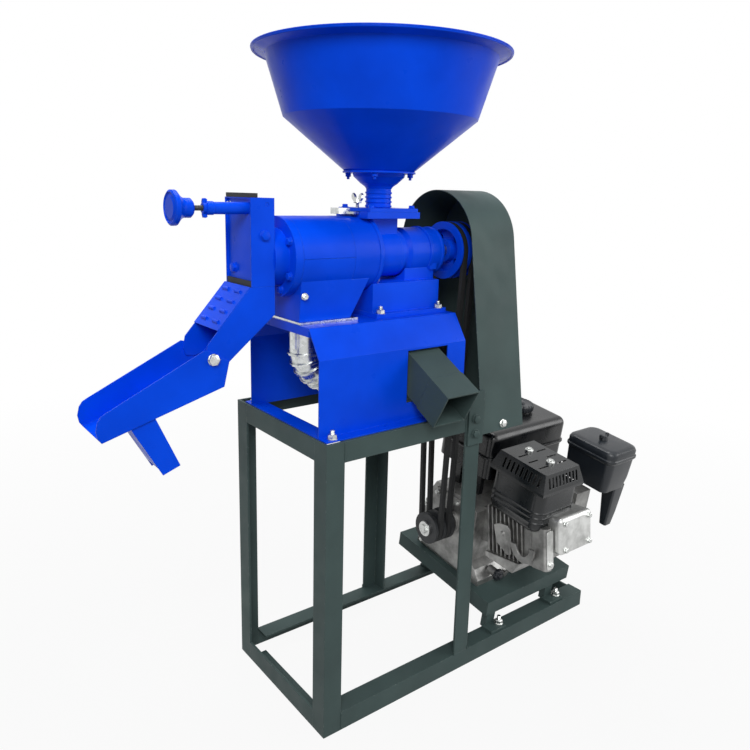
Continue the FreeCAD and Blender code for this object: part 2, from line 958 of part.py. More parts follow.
def make_hopper():
    x = S.hopper_x
    y = S.mill_y
    thick = S.hopper_sheet
    low = S.hopper_bottom
    fold = hopper_fold
    rim = hopper_rim
    lip_width = S.rim_radius - S.wall_top_radius
    profile = [
        (S.hopper_hole_radius, low),
        (S.fold_radius, fold),
        (S.wall_top_radius, rim - 9),
        (S.rim_radius, rim - 2),
        (S.rim_radius, rim),
        (S.rim_radius - lip_width / 2, rim - 1.5),
        (S.wall_top_radius - thick, rim - 7),
        (S.fold_radius - thick, fold + 1),
        (S.hopper_hole_radius - thick - 1, low),
    ]
    node("hopper", turned_z(profile, x, y))

    bore = S.feed_bore
    neck = S.neck_radius
    foot = S.gate_seat + S.gate_room
    foot_top = foot + 6
    profile = [
        (S.hopper_hole_radius + 3, low), (S.hopper_hole_radius + 3, low - 3),
        (46, low - 3), (44, low - 9), (32, low - 20), (neck + 3, low - 25), (neck, low - 29),
    ]
    for step in range(4):
        band = low - 34 - 7.5 * step
        profile += [(neck, band), (neck + 1.5, band), (neck + 1.5, band - 3), (neck, band - 3)]
    profile += [
        (neck, foot_top), (neck + 8, foot_top), (neck + 8, foot), (bore, foot),
        (bore, low - 28), (30, low - 21), (42, low - 9), (43, low - 3),
        (S.hopper_hole_radius - thick, low),
    ]
    funnel = turned_z(profile, x, y)
    plate = cut(
        box(145, y - 46, foot, 104, 92, 6),
        rod("z", x, y, foot - 5, bore, 20),
        rod("z", 152, y, foot - 5, 3 + S.running_gap, 20),
    )
    bolts = []
    for turn in (45, 135, 225, 315):
        angle = math.radians(turn)
        bolt_x = x + 54 * math.cos(angle)
        bolt_y = y + 54 * math.sin(angle)
        bolts.append(rod("z", bolt_x, bolt_y, low - 9, 4, 7))
    node("hopper_neck", fuse(funnel, plate, *bolts))

    gap = (S.gate_room - 4) / 2
    seat = S.gate_seat
    half = S.gate_width / 2
    blade = box(128, y - half, seat + gap, 98, S.gate_width, 4)
    tab = box(105, y - 12, seat + gap, 23, 24, 10)
    node("slide_gate", fuse(blade, tab))

    screw_x = 152
    thread = rod("z", screw_x, y, seat + S.gate_room, 3, 26)
    grip = fuse(
        thread,
        rod("z", screw_x, y, foot_top + 8, 6, 9),
        box(screw_x - 2, y - 14, foot_top + 12, 4, 28, 12),
    )
    node("gate_screw", grip)


# ---------------------------------------------------------------- rice outlet, pressure screw and chutes


def make_outlet_box():
    sheet = S.box_sheet
    left = S.box_left
    right = S.box_right
    front = S.box_front
    width = S.box_width
    low = S.box_bottom
    top = S.box_top
    y = S.knob_y
    z = S.knob_z
    recess = 4
    shell = cut(
        box(left, front, low, right - left, width, top - low),
        box(left + recess + sheet, front + sheet, low - 1,
            right - left - recess - 2 * sheet, width - 2 * sheet, top - low - sheet + 1),
        box(left - 1, front + sheet, low - 1, recess + 1, width - 2 * sheet, top - low - sheet + 1),
    )
    tube_left = S.pressure_tube_left
    pieces = fuse(
        shell,
        rod("x", tube_left, y, z, 9, left - tube_left + 10),
        rod("x", tube_left, y, z, 10, 11),
        rod("x", tube_left - 3, y, z, 7, 5),
        box(tube_left - 4, y - 2, z - 13, 5, 4, 26),
        box(left, front + 2, top, 12, width - 8, 6),
        rod("y", -50, front - 5, 839, 6, 6),
        rod("x", left - 2, front + 62, 787, 6, 7),
    )
    node("outlet_box", cut(
        pieces,
        rod("x", tube_left - 10, y, z, 4 + S.running_gap, left - tube_left + 25),
        rod("x", right - 5, S.mill_y, S.mill_z, S.screen_radius - S.screen_wall, 10),
        rod("y", -45, front - 1, top - 10, 3 + S.running_gap, width + 2),
    ))

    flap = fuse(
        rod("y", -45, front + 0.5, top - 10, 3, width - 1),
        box(-41 + 2.7, front + 6, low + 10, 3, width - 12, top - low - 25),
        box(-47, front + 6, top - 15.5, 11.7, width - 12, 5),
    )
    node("pressure_flap", flap)

    hub_end = tube_left - 21
    screw_left = hub_end - 10
    screw_end = left + 19
    node("pressure_screw", rod("x", screw_left, y, z, 4, screw_end - screw_left))
    rim = S.knob_radius
    face = hub_end - 33
    disc = face + 12
    profile = [
        (face, 0), (face, 15), (face + 2, 18), (face + 2, rim - 4), (face, rim - 3),
        (face + 2, rim), (disc - 4, rim), (disc, rim - 5), (disc + 4, 16), (disc + 8, 14),
        (hub_end - 3, 14), (hub_end, 11), (hub_end, 4), (screw_left, 4), (screw_left, 0),
    ]
    node("pressure_knob", turned_x(profile, y, z))


def make_chute():
    """Fixed chute under the outlet box with its louvred cover."""
    sheet = S.box_sheet
    front = S.box_front
    back = S.box_front + S.box_width
    right = S.box_right
    left = S.box_left
    top = S.box_bottom
    px = S.pivot_x
    pz = S.pivot_z
    outer = [
        (right, top), (left - 2, top), (px - 7, pz + 22), (px - 11, pz + 4), (px - 7, pz - 9),
        (px + 5, pz - 11), (-112, 652), (right, 718),
    ]
    inner = [
        (right - sheet, top + 1), (left - 20, top + 1), (px - 30, pz + 22), (px - 30, pz - 30),
        (px + 14, pz - 30), (px + 24, pz - 4), (right - sheet, 720.6),
    ]
    channel = cut(
        prism_y([outer], front, back),
        prism_y([inner], front + sheet, back - sheet),
    )
    head = 7.5
    bolts = []
    gap = S.moving_gap
    wall = 2
    for side in (-1, 1):
        start = front - wall - 2 * gap - 5 if side < 0 else back - sheet
        bolts.append(rod("y", px, start, pz, 4, 5 + wall + 2 * gap + sheet))
        cap = front - wall - 2 * gap - 5 if side < 0 else back + wall + 2 * gap
        bolts.append(rod("y", px, cap, pz, head, 5))
    node("chute", fuse(channel, *bolts))

    run = 82
    plate = doc.addObject("Part::Box", "Louvred")
    plate.Length = run
    bind(plate, "Width", S.box_width)
    plate.Height = 1.5
    pieces = [place(plate, 0, 0, -1.5)]
    for column in range(2):
        for row in range(4):
            bump = rod("y", 12 + 19 * row, 14 + 40 * column, -1.5, 3, 18)
            pieces.append(bump)
    cover = fuse(*pieces)
    down = math.degrees(math.atan2(pz.value + 22 - top.value, px.value - 7 - left.value + 2))
    place(cover, left - 2, front, top, Y_AXIS, -down)
    under = outer[:3] + [(px + 20, pz + 31), (right, pz + 81)]
    node("chute_cover", cut(cover, prism_y([under], front - 1, back + 1)))


def make_trough():
    """Lower chute, which tilts on the two bolts, with the spout for broken rice below it."""
    gap = S.moving_gap
    wall = 2
    front = S.box_front - gap - wall
    back = S.box_front + S.box_width + gap + wall
    px = S.pivot_x
    pz = S.pivot_z
    floor_left = (px - 167, pz - 98.2)
    floor_right = (px + 17, pz - 44)
    outer = [
        (px - 159, pz - 56), (px - 13, pz + 15), (px - 2, pz + 12), (px + 26, pz - 6),
        floor_right, floor_left, (px - 172, pz - 91), (px - 174, pz - 80), (px - 171, pz - 67),
        (px - 166, pz - 60),
    ]
    inner = [
        (px - 200, pz - 40), (px - 13, pz + 40), (px + 60, pz), (px + 60, pz - 29.4),
        (px + 17, pz - 42), (px - 163, pz - 95), (px - 200, pz - 105.9),
    ]
    tray = cut(
        prism_y([outer], front, back),
        prism_y([inner], front + wall, back - wall),
        rod("y", px, front - 1, pz, 4 + S.running_gap, back - front + 2),
    )

    spout = [
        (px - 126, pz - 86.1), (px - 90, pz - 75.5), (px - 55, pz - 155), (px - 82, pz - 165),
    ]
    hollow = [
        (px - 124, pz - 80), (px - 93, pz - 70), (px - 56.5, pz - 157), (px - 81.4, pz - 168),
    ]
    duct = cut(
        prism_y([spout], front + 3, front + 50),
        prism_y([hollow], front + 4.5, front + 48.5),
    )
    slots = [
        box(px - 120, front + 10 + 8 * step, pz - 92, 24, 4, 20) for step in range(5)
    ]
    node("trough", cut(fuse(tray, duct), *slots))


# ---------------------------------------------------------------- pulleys, belts and guard


def grooved(left, right, radius, bore, grooves):
    """Profile (x, radius) of a V-belt pulley."""
    top = 7
    bottom = 5.1
    depth = S.belt_depth + 2
    profile = [(left, bore), (left, radius)]
    for x in grooves:
        profile += [
            (x - top, radius), (x - bottom, radius - depth),
            (x + bottom, radius - depth), (x + top, radius),
        ]
    return profile + [(right, radius), (right, bore)]


def make_pulleys():
    y = S.mill_y
    z = S.mill_z
    grooves = (S.belt_one_x, S.belt_two_x)
    near = 354
    far = 398
    depth = 14
    profile = grooved(near, far, S.mill_pulley_radius, S.shaft_radius, grooves)
    rim = turned_x(profile, y, z, drive_shift)
    web_ring = 40
    boss = 22
    recess = fuse(*[
        cut(
            rod("x", x + drive_shift, y, z, web_ring, depth + 1),
            rod("x", x + drive_shift, y, z, boss, depth + 1),
        )
        for x in (near - 1, far - depth)
    ])
    holes = []
    for turn in (45, 135, 225, 315):
        angle = math.radians(turn)
        hole_y = y + 31 * math.sin(angle)
        hole_z = z + 31 * math.cos(angle)
        holes.append(rod("x", near - 4 + drive_shift, hole_y, hole_z, 7.5, 60))
    node("mill_pulley", cut(rim, recess, *holes))

    y = S.crank_y
    z = S.crank_z
    profile = grooved(352, 404, S.engine_pulley_radius, S.shaft_radius, grooves)
    node("engine_pulley", turned_x(profile, y, z, drive_shift))
    node("crankshaft", fuse(
        rod("x", 352 + drive_shift, y, z, S.shaft_radius, 262),
        rod("x", 348 + drive_shift, y, z, 16, 4),
        rod("x", 343 + drive_shift, y, z, 8, 5),
    ))


def round_pair(x, first, second, length):
    """A solid whose outline wraps two circles, given as (y, z, radius), by their outer tangents."""
    (y1, z1, r1), (y2, z2, r2) = first, second
    span = math.hypot(y2 - y1, z2 - z1)
    along = math.atan2(z2 - z1, y2 - y1)
    open_angle = math.acos((r1 - r2) / span)

    def on(circle_at, angle):
        cy, cz, radius = circle_at
        return Vector(x, cy + radius * math.cos(angle), cz + radius * math.sin(angle))

    one, two = along + open_angle, along - open_angle
    edges = [
        Part.Arc(on(first, one), on(first, along + math.pi), on(first, two)).toShape(),
        Part.LineSegment(on(first, two), on(second, two)).toShape(),
        Part.Arc(on(second, two), on(second, along), on(second, one)).toShape(),
        Part.LineSegment(on(second, one), on(first, one)).toShape(),
    ]
    return Part.Face(Part.Wire(edges)).extrude(Vector(length, 0, 0))


def make_belts():
    width = S.belt_width.value
    depth = S.belt_depth.value
    slack = 0.5
    mill = (S.mill_y.value, S.mill_z.value)
    crank = (S.crank_y.value, S.crank_z.value)
    mill_radius = S.mill_pulley_radius.value - slack
    crank_radius = S.engine_pulley_radius.value - slack
    for label, x in (("belt_left", S.belt_one_x), ("belt_right", S.belt_two_x)):
        start = x.value - width / 2
        outer = round_pair(start, (*mill, mill_radius), (*crank, crank_radius), width)
        inner = round_pair(
            start, (*mill, mill_radius - depth), (*crank, crank_radius - depth), width
        )
        belt = doc.addObject("Part::Feature", "Belt")
        belt.Shape = outer.cut(inner)
        node(label, place(belt, drive_shift))


def guard_outline(x, inset):
    """Arch with flared legs: tangents from the two feet to the arch's circle."""
    cy = S.guard_y.value
    cz = S.guard_z.value
    radius = S.guard_radius.value - inset
    foot = S.guard_foot.value - inset
    drop = cz - S.guard_bottom.value
    reach = math.hypot(foot, drop)
    touch = math.atan2(-drop, foot) + math.acos(radius / reach)
    right = Vector(x, cy + foot, cz - drop)
    left = Vector(x, cy - foot, cz - drop)
    rear = Vector(x, cy + radius * math.cos(touch), cz + radius * math.sin(touch))
    fore = Vector(x, cy - radius * math.cos(touch), cz + radius * math.sin(touch))
    crown = Vector(x, cy, cz + radius)
    return Part.Wire([
        Part.LineSegment(left, fore).toShape(),
        Part.Arc(fore, crown, rear).toShape(),
        Part.LineSegment(rear, right).toShape(),
        Part.LineSegment(right, left).toShape(),
    ])


def make_guard():
    sheet = S.guard_sheet.value
    left = S.guard_left.value
    long = S.guard_length.value
    outer = Part.Face(guard_outline(left, 0)).extrude(Vector(long, 0, 0))
    inner = Part.Face(guard_outline(left, sheet)).extrude(Vector(long - sheet, 0, 0))
    open_foot = Part.makeBox(
        long - sheet, 2 * S.guard_foot.value - 2 * sheet, 4,
        Vector(left, S.guard_y.value - S.guard_foot.value + sheet, S.guard_bottom.value - 2),
    )
    guard = doc.addObject("Part::Feature", "BeltGuard")
    guard.Shape = outer.cut(inner).cut(open_foot).removeSplitter()
    node("belt_guard", place(guard, drive_shift))

    back = S.stand_width
    top = S.table_height
    stay_thick = 4
    edge = S.guard_left + drive_shift
    legs_from = S.right_legs_from + drive_shift
    for label, y in (("guard_stay_front", -stay_thick), ("guard_stay_rear", back)):
        plate = box(legs_from + 2, y, top - 62, edge - legs_from - 2, stay_thick, 100)
        tab_y = 0 if label.endswith("front") else back - 16
        tab = box(edge - stay_thick, tab_y, S.guard_bottom, stay_thick, 16, 60)
        pieces = [plate, tab]
        for z in (top - 40, top - 12):
            cap = -stay_thick - 5 if label.endswith("front") else back + stay_thick
            pieces.append(rod("y", legs_from + 18, cap, z, 6, 5))
        node(label, fuse(*pieces))


# ---------------------------------------------------------------- engine


def make_engine_plate():
    left = S.plate_left
    front = S.plate_front
    top = -S.crank_height
    sheet = S.plate_sheet
    skirt = S.plate_skirt
    tray = cut(
        box(left, front, top - skirt, S.plate_length, S.plate_width, skirt),
        box(left + sheet, front + sheet, top - skirt - 1, S.plate_length - 2 * sheet,
            S.plate_width - 2 * sheet, skirt - sheet + 1),
    )
    tilted(tray)
    foot_long = 24
    foot_thick = 14
    rear_foot = front + S.plate_width - 28
    feet = []
    for x, y, reach in (
        (left + 8, front + 3, 70), (left + 192, front + 3, 70),
        (left + 70, rear_foot, 106), (left + 212, rear_foot, 106),
    ):
        foot = box(x, y, top - sheet - reach, foot_long, foot_thick, reach)
        feet.append(tilted(foot))
    above_rail = box(300, -50, S.angle_leg, 500, 500, 300)
    legs = common(fuse(*feet), above_rail)
    pads = []
    foot_left = left + drive_shift
    edge = 3
    front_end = 32
    rear_pad = S.crank_y + front + S.plate_width - 18
    rear_end = S.stand_width - edge
    for x, y, end in (
        (2, edge, front_end), (186, edge, front_end), (64, rear_pad, rear_end), (206, rear_pad, rear_end)
    ):
        pads.append(box(foot_left + x, y, S.angle_leg, 42, as_size(end) - y, 6))
        stud = hexagon(foot_left + x + 35, as_size(y) + 14, 13)
        pads.append(prism_z([stud], S.angle_leg + 6, 8))
    node("engine_plate", fuse(tray, legs, *pads))


def make_crankcase():
    left = S.crankcase_left
    long = S.crankcase_length
    low = -S.crank_height
    outline = [
        (-100, low), (92, low), (92, low + 10), (82, low + 18), (82, 20), (60, 62),
        (-30, 66), (-66, 52), (-70, -62), (-86, -74), (-100, low + 12),
    ]
    case = prism_x([outline], left, long)
    cover_outline = [
        (-78, low + 8), (80, low + 8), (80, 10), (52, 54), (-22, 58), (-62, 30), (-66, -60),
    ]
    cover = prism_x([cover_outline], left - 5, 5)
    boss = rod("x", left - 12, 0, 0, 27, 12)
    plug_neck = rod("y", 466, -112, -80, 9, 20)
    drain = rod("y", 502, -108, -97, 6, 12)
    rims = []
    for y, z in ((-68, -88), (70, -88), (72, 4), (44, 46), (-16, 50), (-56, 20), (-60, -40)):
        rims.append(rod("x", left - 9, y, z, 5, 5))
    solid = cut(
        fuse(case, cover, boss, plug_neck, drain, *rims),
        rod("x", left - 20, 0, 0, S.shaft_radius + S.running_gap, 300),
    )
    node("crankcase", tilted(solid))
    cap = fuse(rod("y", 466, -122, -80, 12, 10), box(464, -127, -89, 4, 5, 18))
    node("oil_cap", tilted(cap))


def on_cylinder(obj):
    """Places a piece drawn along the cylinder's axis, which rises from the crank towards the front."""
    return place(obj, drive_shift, S.crank_y, S.crank_z, X_AXIS, S.engine_tilt - S.cylinder_rise)


def make_cylinder():
    core = prism_z([rectangle(452, -186, 86, 160)], -34, 74)
    pieces = [core]
    fins = 9
    for step in range(fins):
        pieces.append(box(442, -182 + 11 * step, -46, 106, 3, 98))
    pieces.append(box(446, -206, -44, 118, 22, 100))
    pieces.append(rod("z", 470, -194, 50, 7, 14))
    side = rounded(box(444, -240, -44, 20, 40, 84), 8, runs_along(Z_AXIS))
    pieces.append(side)
    shroud = prism_x([[(-178, -46), (-88, -46), (-88, -56), (-160, -70)]], 436, 72)
    drawn = on_cylinder(fuse(*pieces, shroud))
    node("cylinder", cut(drawn, nodes["crankcase"]))

    face = -258
    cover = rounded(
        box(466, face, -14, 96, -206 - face, 74), 9,
        lambda edge: runs_along(Y_AXIS)(edge) or edge.BoundBox.YMax < face + 0.1,
    )
    node("valve_cover", on_cylinder(cover))


def make_engine():
    """Everything bolted to the crankcase, drawn about the crank axis before the plate's tilt."""
    # blower housing with the recoil starter
    left = S.crankcase_left + S.crankcase_length
    housing = [
        (left, 106), (left + 78, 106), (left + 84, 92), (left + 112, 86), (left + 122, 78),
        (left + 122, 30), (left + 118, 26), (left + 118, 0), (left + 115, 0), (left + 115, 75),
        (left + 109, 83), (left + 81, 89), (left + 75, 103), (left + 3, 103), (left + 3, 20),
        (left, 20),
    ]
    blower = turned_x(housing, 0, 0)
    handle_seat = box(654, -106, 18, 24, 30, 30)
    lever_seat = box(596, -94, 66, 34, 22, 30)
    lever_pin = rod("x", 628, -84, 85, 3, 8)
    switch_box = box(590, -122, -6, 34, 24, 38)
    inside = rod("x", left + 3, 0, 0, 103, 72)
    slots = []
    for step in range(8):
        angle = math.radians(45 * step)
        slots.append(
            rod("x", left + 100, 56 * math.sin(angle), 56 * math.cos(angle), 9, 40)
        )
    node("blower_housing", tilted(cut(
        fuse(blower, handle_seat, lever_seat, switch_box, lever_pin), inside,
        rod("x", left - 5, 0, 0, S.shaft_radius + 2, 60),
        rod("x", left + 80, 0, 0, 82, 34), *slots,
    )))

    wheel = fuse(
        rod("x", left + 10, 0, 0, 86, 24),
        box(left + 34, -2, 40, 18, 4, 44),
    )
    vanes = [wheel]
    for step in range(1, 8):
        vane = box(left + 34, 0, 0, 18, 4, 44)
        angle = math.radians(45 * step)
        place(vane, left + 34, -40 * math.sin(angle), 40 * math.cos(angle), X_AXIS, 45 * step)
        vanes.append(vane)
    hub = rod("x", left + 5, 0, 0, S.shaft_radius, 60)
    node("flywheel", place(cut(fuse(*vanes), hub), drive_shift, S.crank_y, S.crank_z))

    handle = fuse(
        rod("z", 666, -116, 10, 7, 46),
        box(662, -116, 28, 8, 10, 10),
    )
    node("recoil_handle", tilted(handle))

    lever = cut(
        fuse(
            rod("x", 630.3, -84, 85, 8, 3),
            box(630.3, -88, 85, 3, 8, 32),
        ),
        rod("x", 625, -84, 85, 3 + S.running_gap, 12),
    )
    node("throttle_lever", tilted(lever))

    node("engine_switch", tilted(fuse(
        rod("y", 607, -130, 13, 11, 7.7),
        box(604, -135, 4, 6, 6, 18),
    )))


def make_tank():
    tank = rounded(box(440, -64, 122, 232, 149, 100), 16, lambda edge: edge.BoundBox.ZMax > 140)
    posts = [box(x, y, 60, 12, 20, 64) for x in (462, 540) for y in (-30, 30)]
    neck = rod("z", 598, 12, 218, 24, 8)
    node("fuel_tank", cut(tilted(fuse(tank, neck, *posts)), nodes["crankcase"]))
    rib = box(596, -17, 232, 4, 58, 8)
    node("fuel_cap", tilted(fuse(rod("z", 598, 12, 226.3, 29, 14), rib)))


def make_exhaust():
    body = rounded(box(442, -204, 106, 88, 112, 62), 16, lambda edge: True)
    elbow = fuse(rod("z", 486, -170, 60, 15, 50), box(466, -186, 60, 40, 32, 8))
    node("muffler", cut(
        tilted(fuse(body, elbow)), nodes["cylinder"], nodes["valve_cover"],
    ))

    sheet = 1.5
    grow = 11
    high = (437, -203, 535, -88, 206)
    low = (437 - grow, -203 - grow, 535 + grow, -88 + grow, 172)

    def shrunk(outline, z):
        x0, y0, x1, y1, _ = outline
        return (x0 + sheet, y0 + sheet, x1 - sheet, y1 - sheet, z)

    hood = loft_shape(low, high)
    skirt = Part.makeBox(98 + 2 * grow, 115 + 2 * grow, 6, Vector(437 - grow, -203 - grow, 166))
    hollow = loft_shape(shrunk(low, 172), shrunk(high, 206 - sheet))
    hollow_skirt = Part.makeBox(
        98 + 2 * grow - 2 * sheet, 115 + 2 * grow - 2 * sheet, 8,
        Vector(437 - grow + sheet, -203 - grow + sheet, 165),
    )
    slots = []
    for step in range(9):
        slots.append(Part.makeBox(5, 40, 20, Vector(443 + 10 * step, -222, 179)))
        slots.append(Part.makeBox(40, 5, 20, Vector(415, -197 + 11 * step, 179)))
        slots.append(Part.makeBox(40, 5, 20, Vector(518, -197 + 11 * step, 179)))
    for step in range(3):
        slots.append(Part.makeBox(26, 4, 10, Vector(446, -180 + 26 * step, 200)))
        slots.append(Part.makeBox(26, 4, 10, Vector(500, -180 + 26 * step, 200)))
    shape = hood.fuse(skirt).cut(hollow.fuse(hollow_skirt)).cut(Part.makeCompound(slots))
    posts = [
        Part.makeCylinder(4, 38, Vector(486, y, 168)) for y in (-172, -118)
    ]
    heads = [
        Part.makeCylinder(8, 4, Vector(486, y, 206)) for y in (-172, -118)
    ]
    shape = shape.fuse(posts + heads).removeSplitter()
    guard = doc.addObject("Part::Feature", "MufflerGuard")
    guard.Shape = shape
    node("muffler_guard", tilted(guard))


def make_air_cleaner():
    case = loft_shape((620, -218, 694, -116, 122), (612, -226, 702, -110, 206))
    lid = Part.makeBox(94, 120, 14, Vector(610, -228, 206))
    body = doc.addObject("Part::Feature", "AirCleaner")
    body.Shape = case.fuse(lid).removeSplitter()
    nut = fuse(rod("z", 657, -168, 220, 6, 8), box(645, -170, 222, 24, 4, 10))
    foot = box(630, -186, 84, 44, 40, 40)
    leg_outline = [(668, 124), (702, 124), (699, 70), (692, 30), (678, 28), (672, 70)]
    leg = prism_y([leg_outline], -212, -186)
    node("air_cleaner", tilted(fuse(body, nut, foot, leg)))
    throat = fuse(
        rod("x", 548, -160, 92, 17, 40),
        box(586, -182, 72, 44, 44, 44),
        rod("z", 608, -160, 44, 20, 30),
    )
    node("carburettor", cut(tilted(throat), nodes["cylinder"]))


# ---------------------------------------------------------------- build, test and write

make_legs()
make_rails()
make_base()
make_fan()
make_suction_duct()
make_bran_hopper()
make_roller_cover()
make_screen()
make_feed_body()
make_outlet_ring()
make_bearing_housing()
make_pedestal()
make_main_shaft()
make_hopper()
make_outlet_box()
make_chute()
make_trough()
make_pulleys()
make_belts()
make_guard()
make_engine_plate()
make_crankcase()
make_cylinder()
make_engine()
make_tank()
make_exhaust()
make_air_cleaner()

doc.recompute()

for obj in doc.Objects:
    broken = [word for word in obj.State if word in ("Invalid", "Error")]
    if broken:
        raise RuntimeError(f"{obj.Name} ({obj.Label}) is {broken}")

os.makedirs("parts", exist_ok=True)
for label, obj in nodes.items():
    shape = obj.Shape
    if shape.isNull() or not shape.isValid() or len(shape.Solids) != 1:
        raise RuntimeError(f"{label} isn't one valid solid")
    shape.exportStep(f"parts/{label}.step")
    bounds = shape.BoundBox
    print(
        f"{label:20s} {shape.Volume:12.0f} x {bounds.XMin:7.1f} {bounds.XMax:7.1f}"
        f" y {bounds.YMin:7.1f} {bounds.YMax:7.1f} z {bounds.ZMin:7.1f} {bounds.ZMax:7.1f}"
    )
print(len(nodes), "pieces")
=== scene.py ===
"""Looks of the rice huller: finishes, fasteners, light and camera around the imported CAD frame."""

import json
import math

import bmesh
import bpy
from mathutils import Matrix, Vector


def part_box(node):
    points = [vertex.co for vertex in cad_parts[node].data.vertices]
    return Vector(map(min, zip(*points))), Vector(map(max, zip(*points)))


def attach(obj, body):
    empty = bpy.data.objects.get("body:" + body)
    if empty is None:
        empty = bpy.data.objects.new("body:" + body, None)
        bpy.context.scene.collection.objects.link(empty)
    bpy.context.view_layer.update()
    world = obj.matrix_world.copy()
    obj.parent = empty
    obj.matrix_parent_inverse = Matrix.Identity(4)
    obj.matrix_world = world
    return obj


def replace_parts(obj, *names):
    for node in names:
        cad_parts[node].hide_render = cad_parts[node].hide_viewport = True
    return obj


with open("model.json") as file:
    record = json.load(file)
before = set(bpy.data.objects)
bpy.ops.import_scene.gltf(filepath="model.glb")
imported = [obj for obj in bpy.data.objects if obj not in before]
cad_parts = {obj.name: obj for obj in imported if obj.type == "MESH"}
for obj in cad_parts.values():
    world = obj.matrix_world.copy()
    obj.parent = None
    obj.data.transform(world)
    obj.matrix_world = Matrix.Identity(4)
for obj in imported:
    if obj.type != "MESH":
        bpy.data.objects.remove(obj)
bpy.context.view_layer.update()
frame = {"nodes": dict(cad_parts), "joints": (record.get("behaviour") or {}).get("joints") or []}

MM = 0.001
X = Vector((1, 0, 0))
Y = Vector((0, 1, 0))
Z = Vector((0, 0, 1))

# Places that the finishes and fasteners share, read from the CAD.
JOINTS = {joint["name"]: joint for joint in frame["joints"]}
CRANK = Vector(JOINTS["crank_turn"]["pos_m"])
MILL = Vector(JOINTS["mill_turn"]["pos_m"]) / MM
PIVOT = Vector(JOINTS["trough_tilt"]["pos_m"]) / MM
GATE_SCREW = Vector(JOINTS["gate_lock_turn"]["pos_m"]) / MM
PRESSURE = Vector(JOINTS["pressure_turn"]["pos_m"]) / MM
SWITCH_AXIS = Vector(JOINTS["switch_turn"]["axis"])
ENGINE_TILT = math.atan2(-SWITCH_AXIS.z, -SWITCH_AXIS.y)
CYLINDER_TILT = ENGINE_TILT - math.radians(14)


def span(name):
    """Lowest and highest corner of a CAD piece at rest, in millimetres."""
    low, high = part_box(name)
    return Vector(low) / MM, Vector(high) / MM


def at(x, y, z):
    return Vector((x, y, z)) * MM


def on_engine(x, y, z, tilt=ENGINE_TILT):
    """A place given in millimetres about the crank, on the tilted engine plate."""
    turned = Matrix.Rotation(tilt, 3, "X") @ at(0, y, z)
    return Vector((x * MM, CRANK.y + turned.y, CRANK.z + turned.z))


def engine_span(name):
    """Lowest and highest corner of a CAD piece in the tilted frame that on_engine takes."""
    level = Matrix.Rotation(-ENGINE_TILT, 3, "X")
    crank = Vector((0, CRANK.y, CRANK.z))
    places = [level @ (vertex.co - crank) / MM for vertex in frame["nodes"][name].data.vertices]
    low = Vector([min(place[i] for place in places) for i in range(3)])
    high = Vector([max(place[i] for place in places) for i in range(3)])
    return low, high


def engine_way(x, y, z, tilt=ENGINE_TILT):
    """A direction on the tilted engine plate."""
    return Matrix.Rotation(tilt, 3, "X") @ Vector((x, y, z))


# ---------------------------------------------------------------- finishes


def linear(hex_colour):
    """sRGB hex to the linear colour that a shader socket takes."""
    channels = [int(hex_colour[i : i + 2], 16) / 255 for i in (1, 3, 5)]
    bent = [c / 12.92 if c <= 0.04045 else ((c + 0.055) / 1.055) ** 2.4 for c in channels]
    return (*bent, 1.0)


class Nodes:
    """A node tree that grows one node at a time."""

    def __init__(self, tree):
        self.tree = tree

    def plug(self, holder, **sources):
        """Feeds sockets of a node, each by its name or, after an i, by its number."""
        for key, value in sources.items():
            name = int(key[1:]) if key[1:].isdigit() else key.replace("_", " ")
            if isinstance(value, bpy.types.NodeSocket):
                self.tree.links.new(value, holder.inputs[name])
            else:
                holder.inputs[name].default_value = value

    def add(self, kind, settings=None, **sources):
        """Adds a node with its settings and links, and gives its outputs."""
        fresh = self.tree.nodes.new(kind)
        for key, value in (settings or {}).items():
            setattr(fresh, key, value)
        self.plug(fresh, **sources)
        return fresh.outputs


def new_material(name):
    """A material, the nodes to build it with, and its shader."""
    material = bpy.data.materials.new(name)
    material.use_nodes = True
    return material, Nodes(material.node_tree), material.node_tree.nodes["Principled BSDF"]


RGBA = {"data_type": "RGBA"}
DOT = {"operation": "DOT_PRODUCT"}
TIMES = {"operation": "MULTIPLY"}
LARGER = {"operation": "MAXIMUM"}
BEVEL = {"samples": 4}


def per(size_mm):
    """Scale of a pattern whose repeat is size_mm."""
    return 1 / (size_mm * MM)


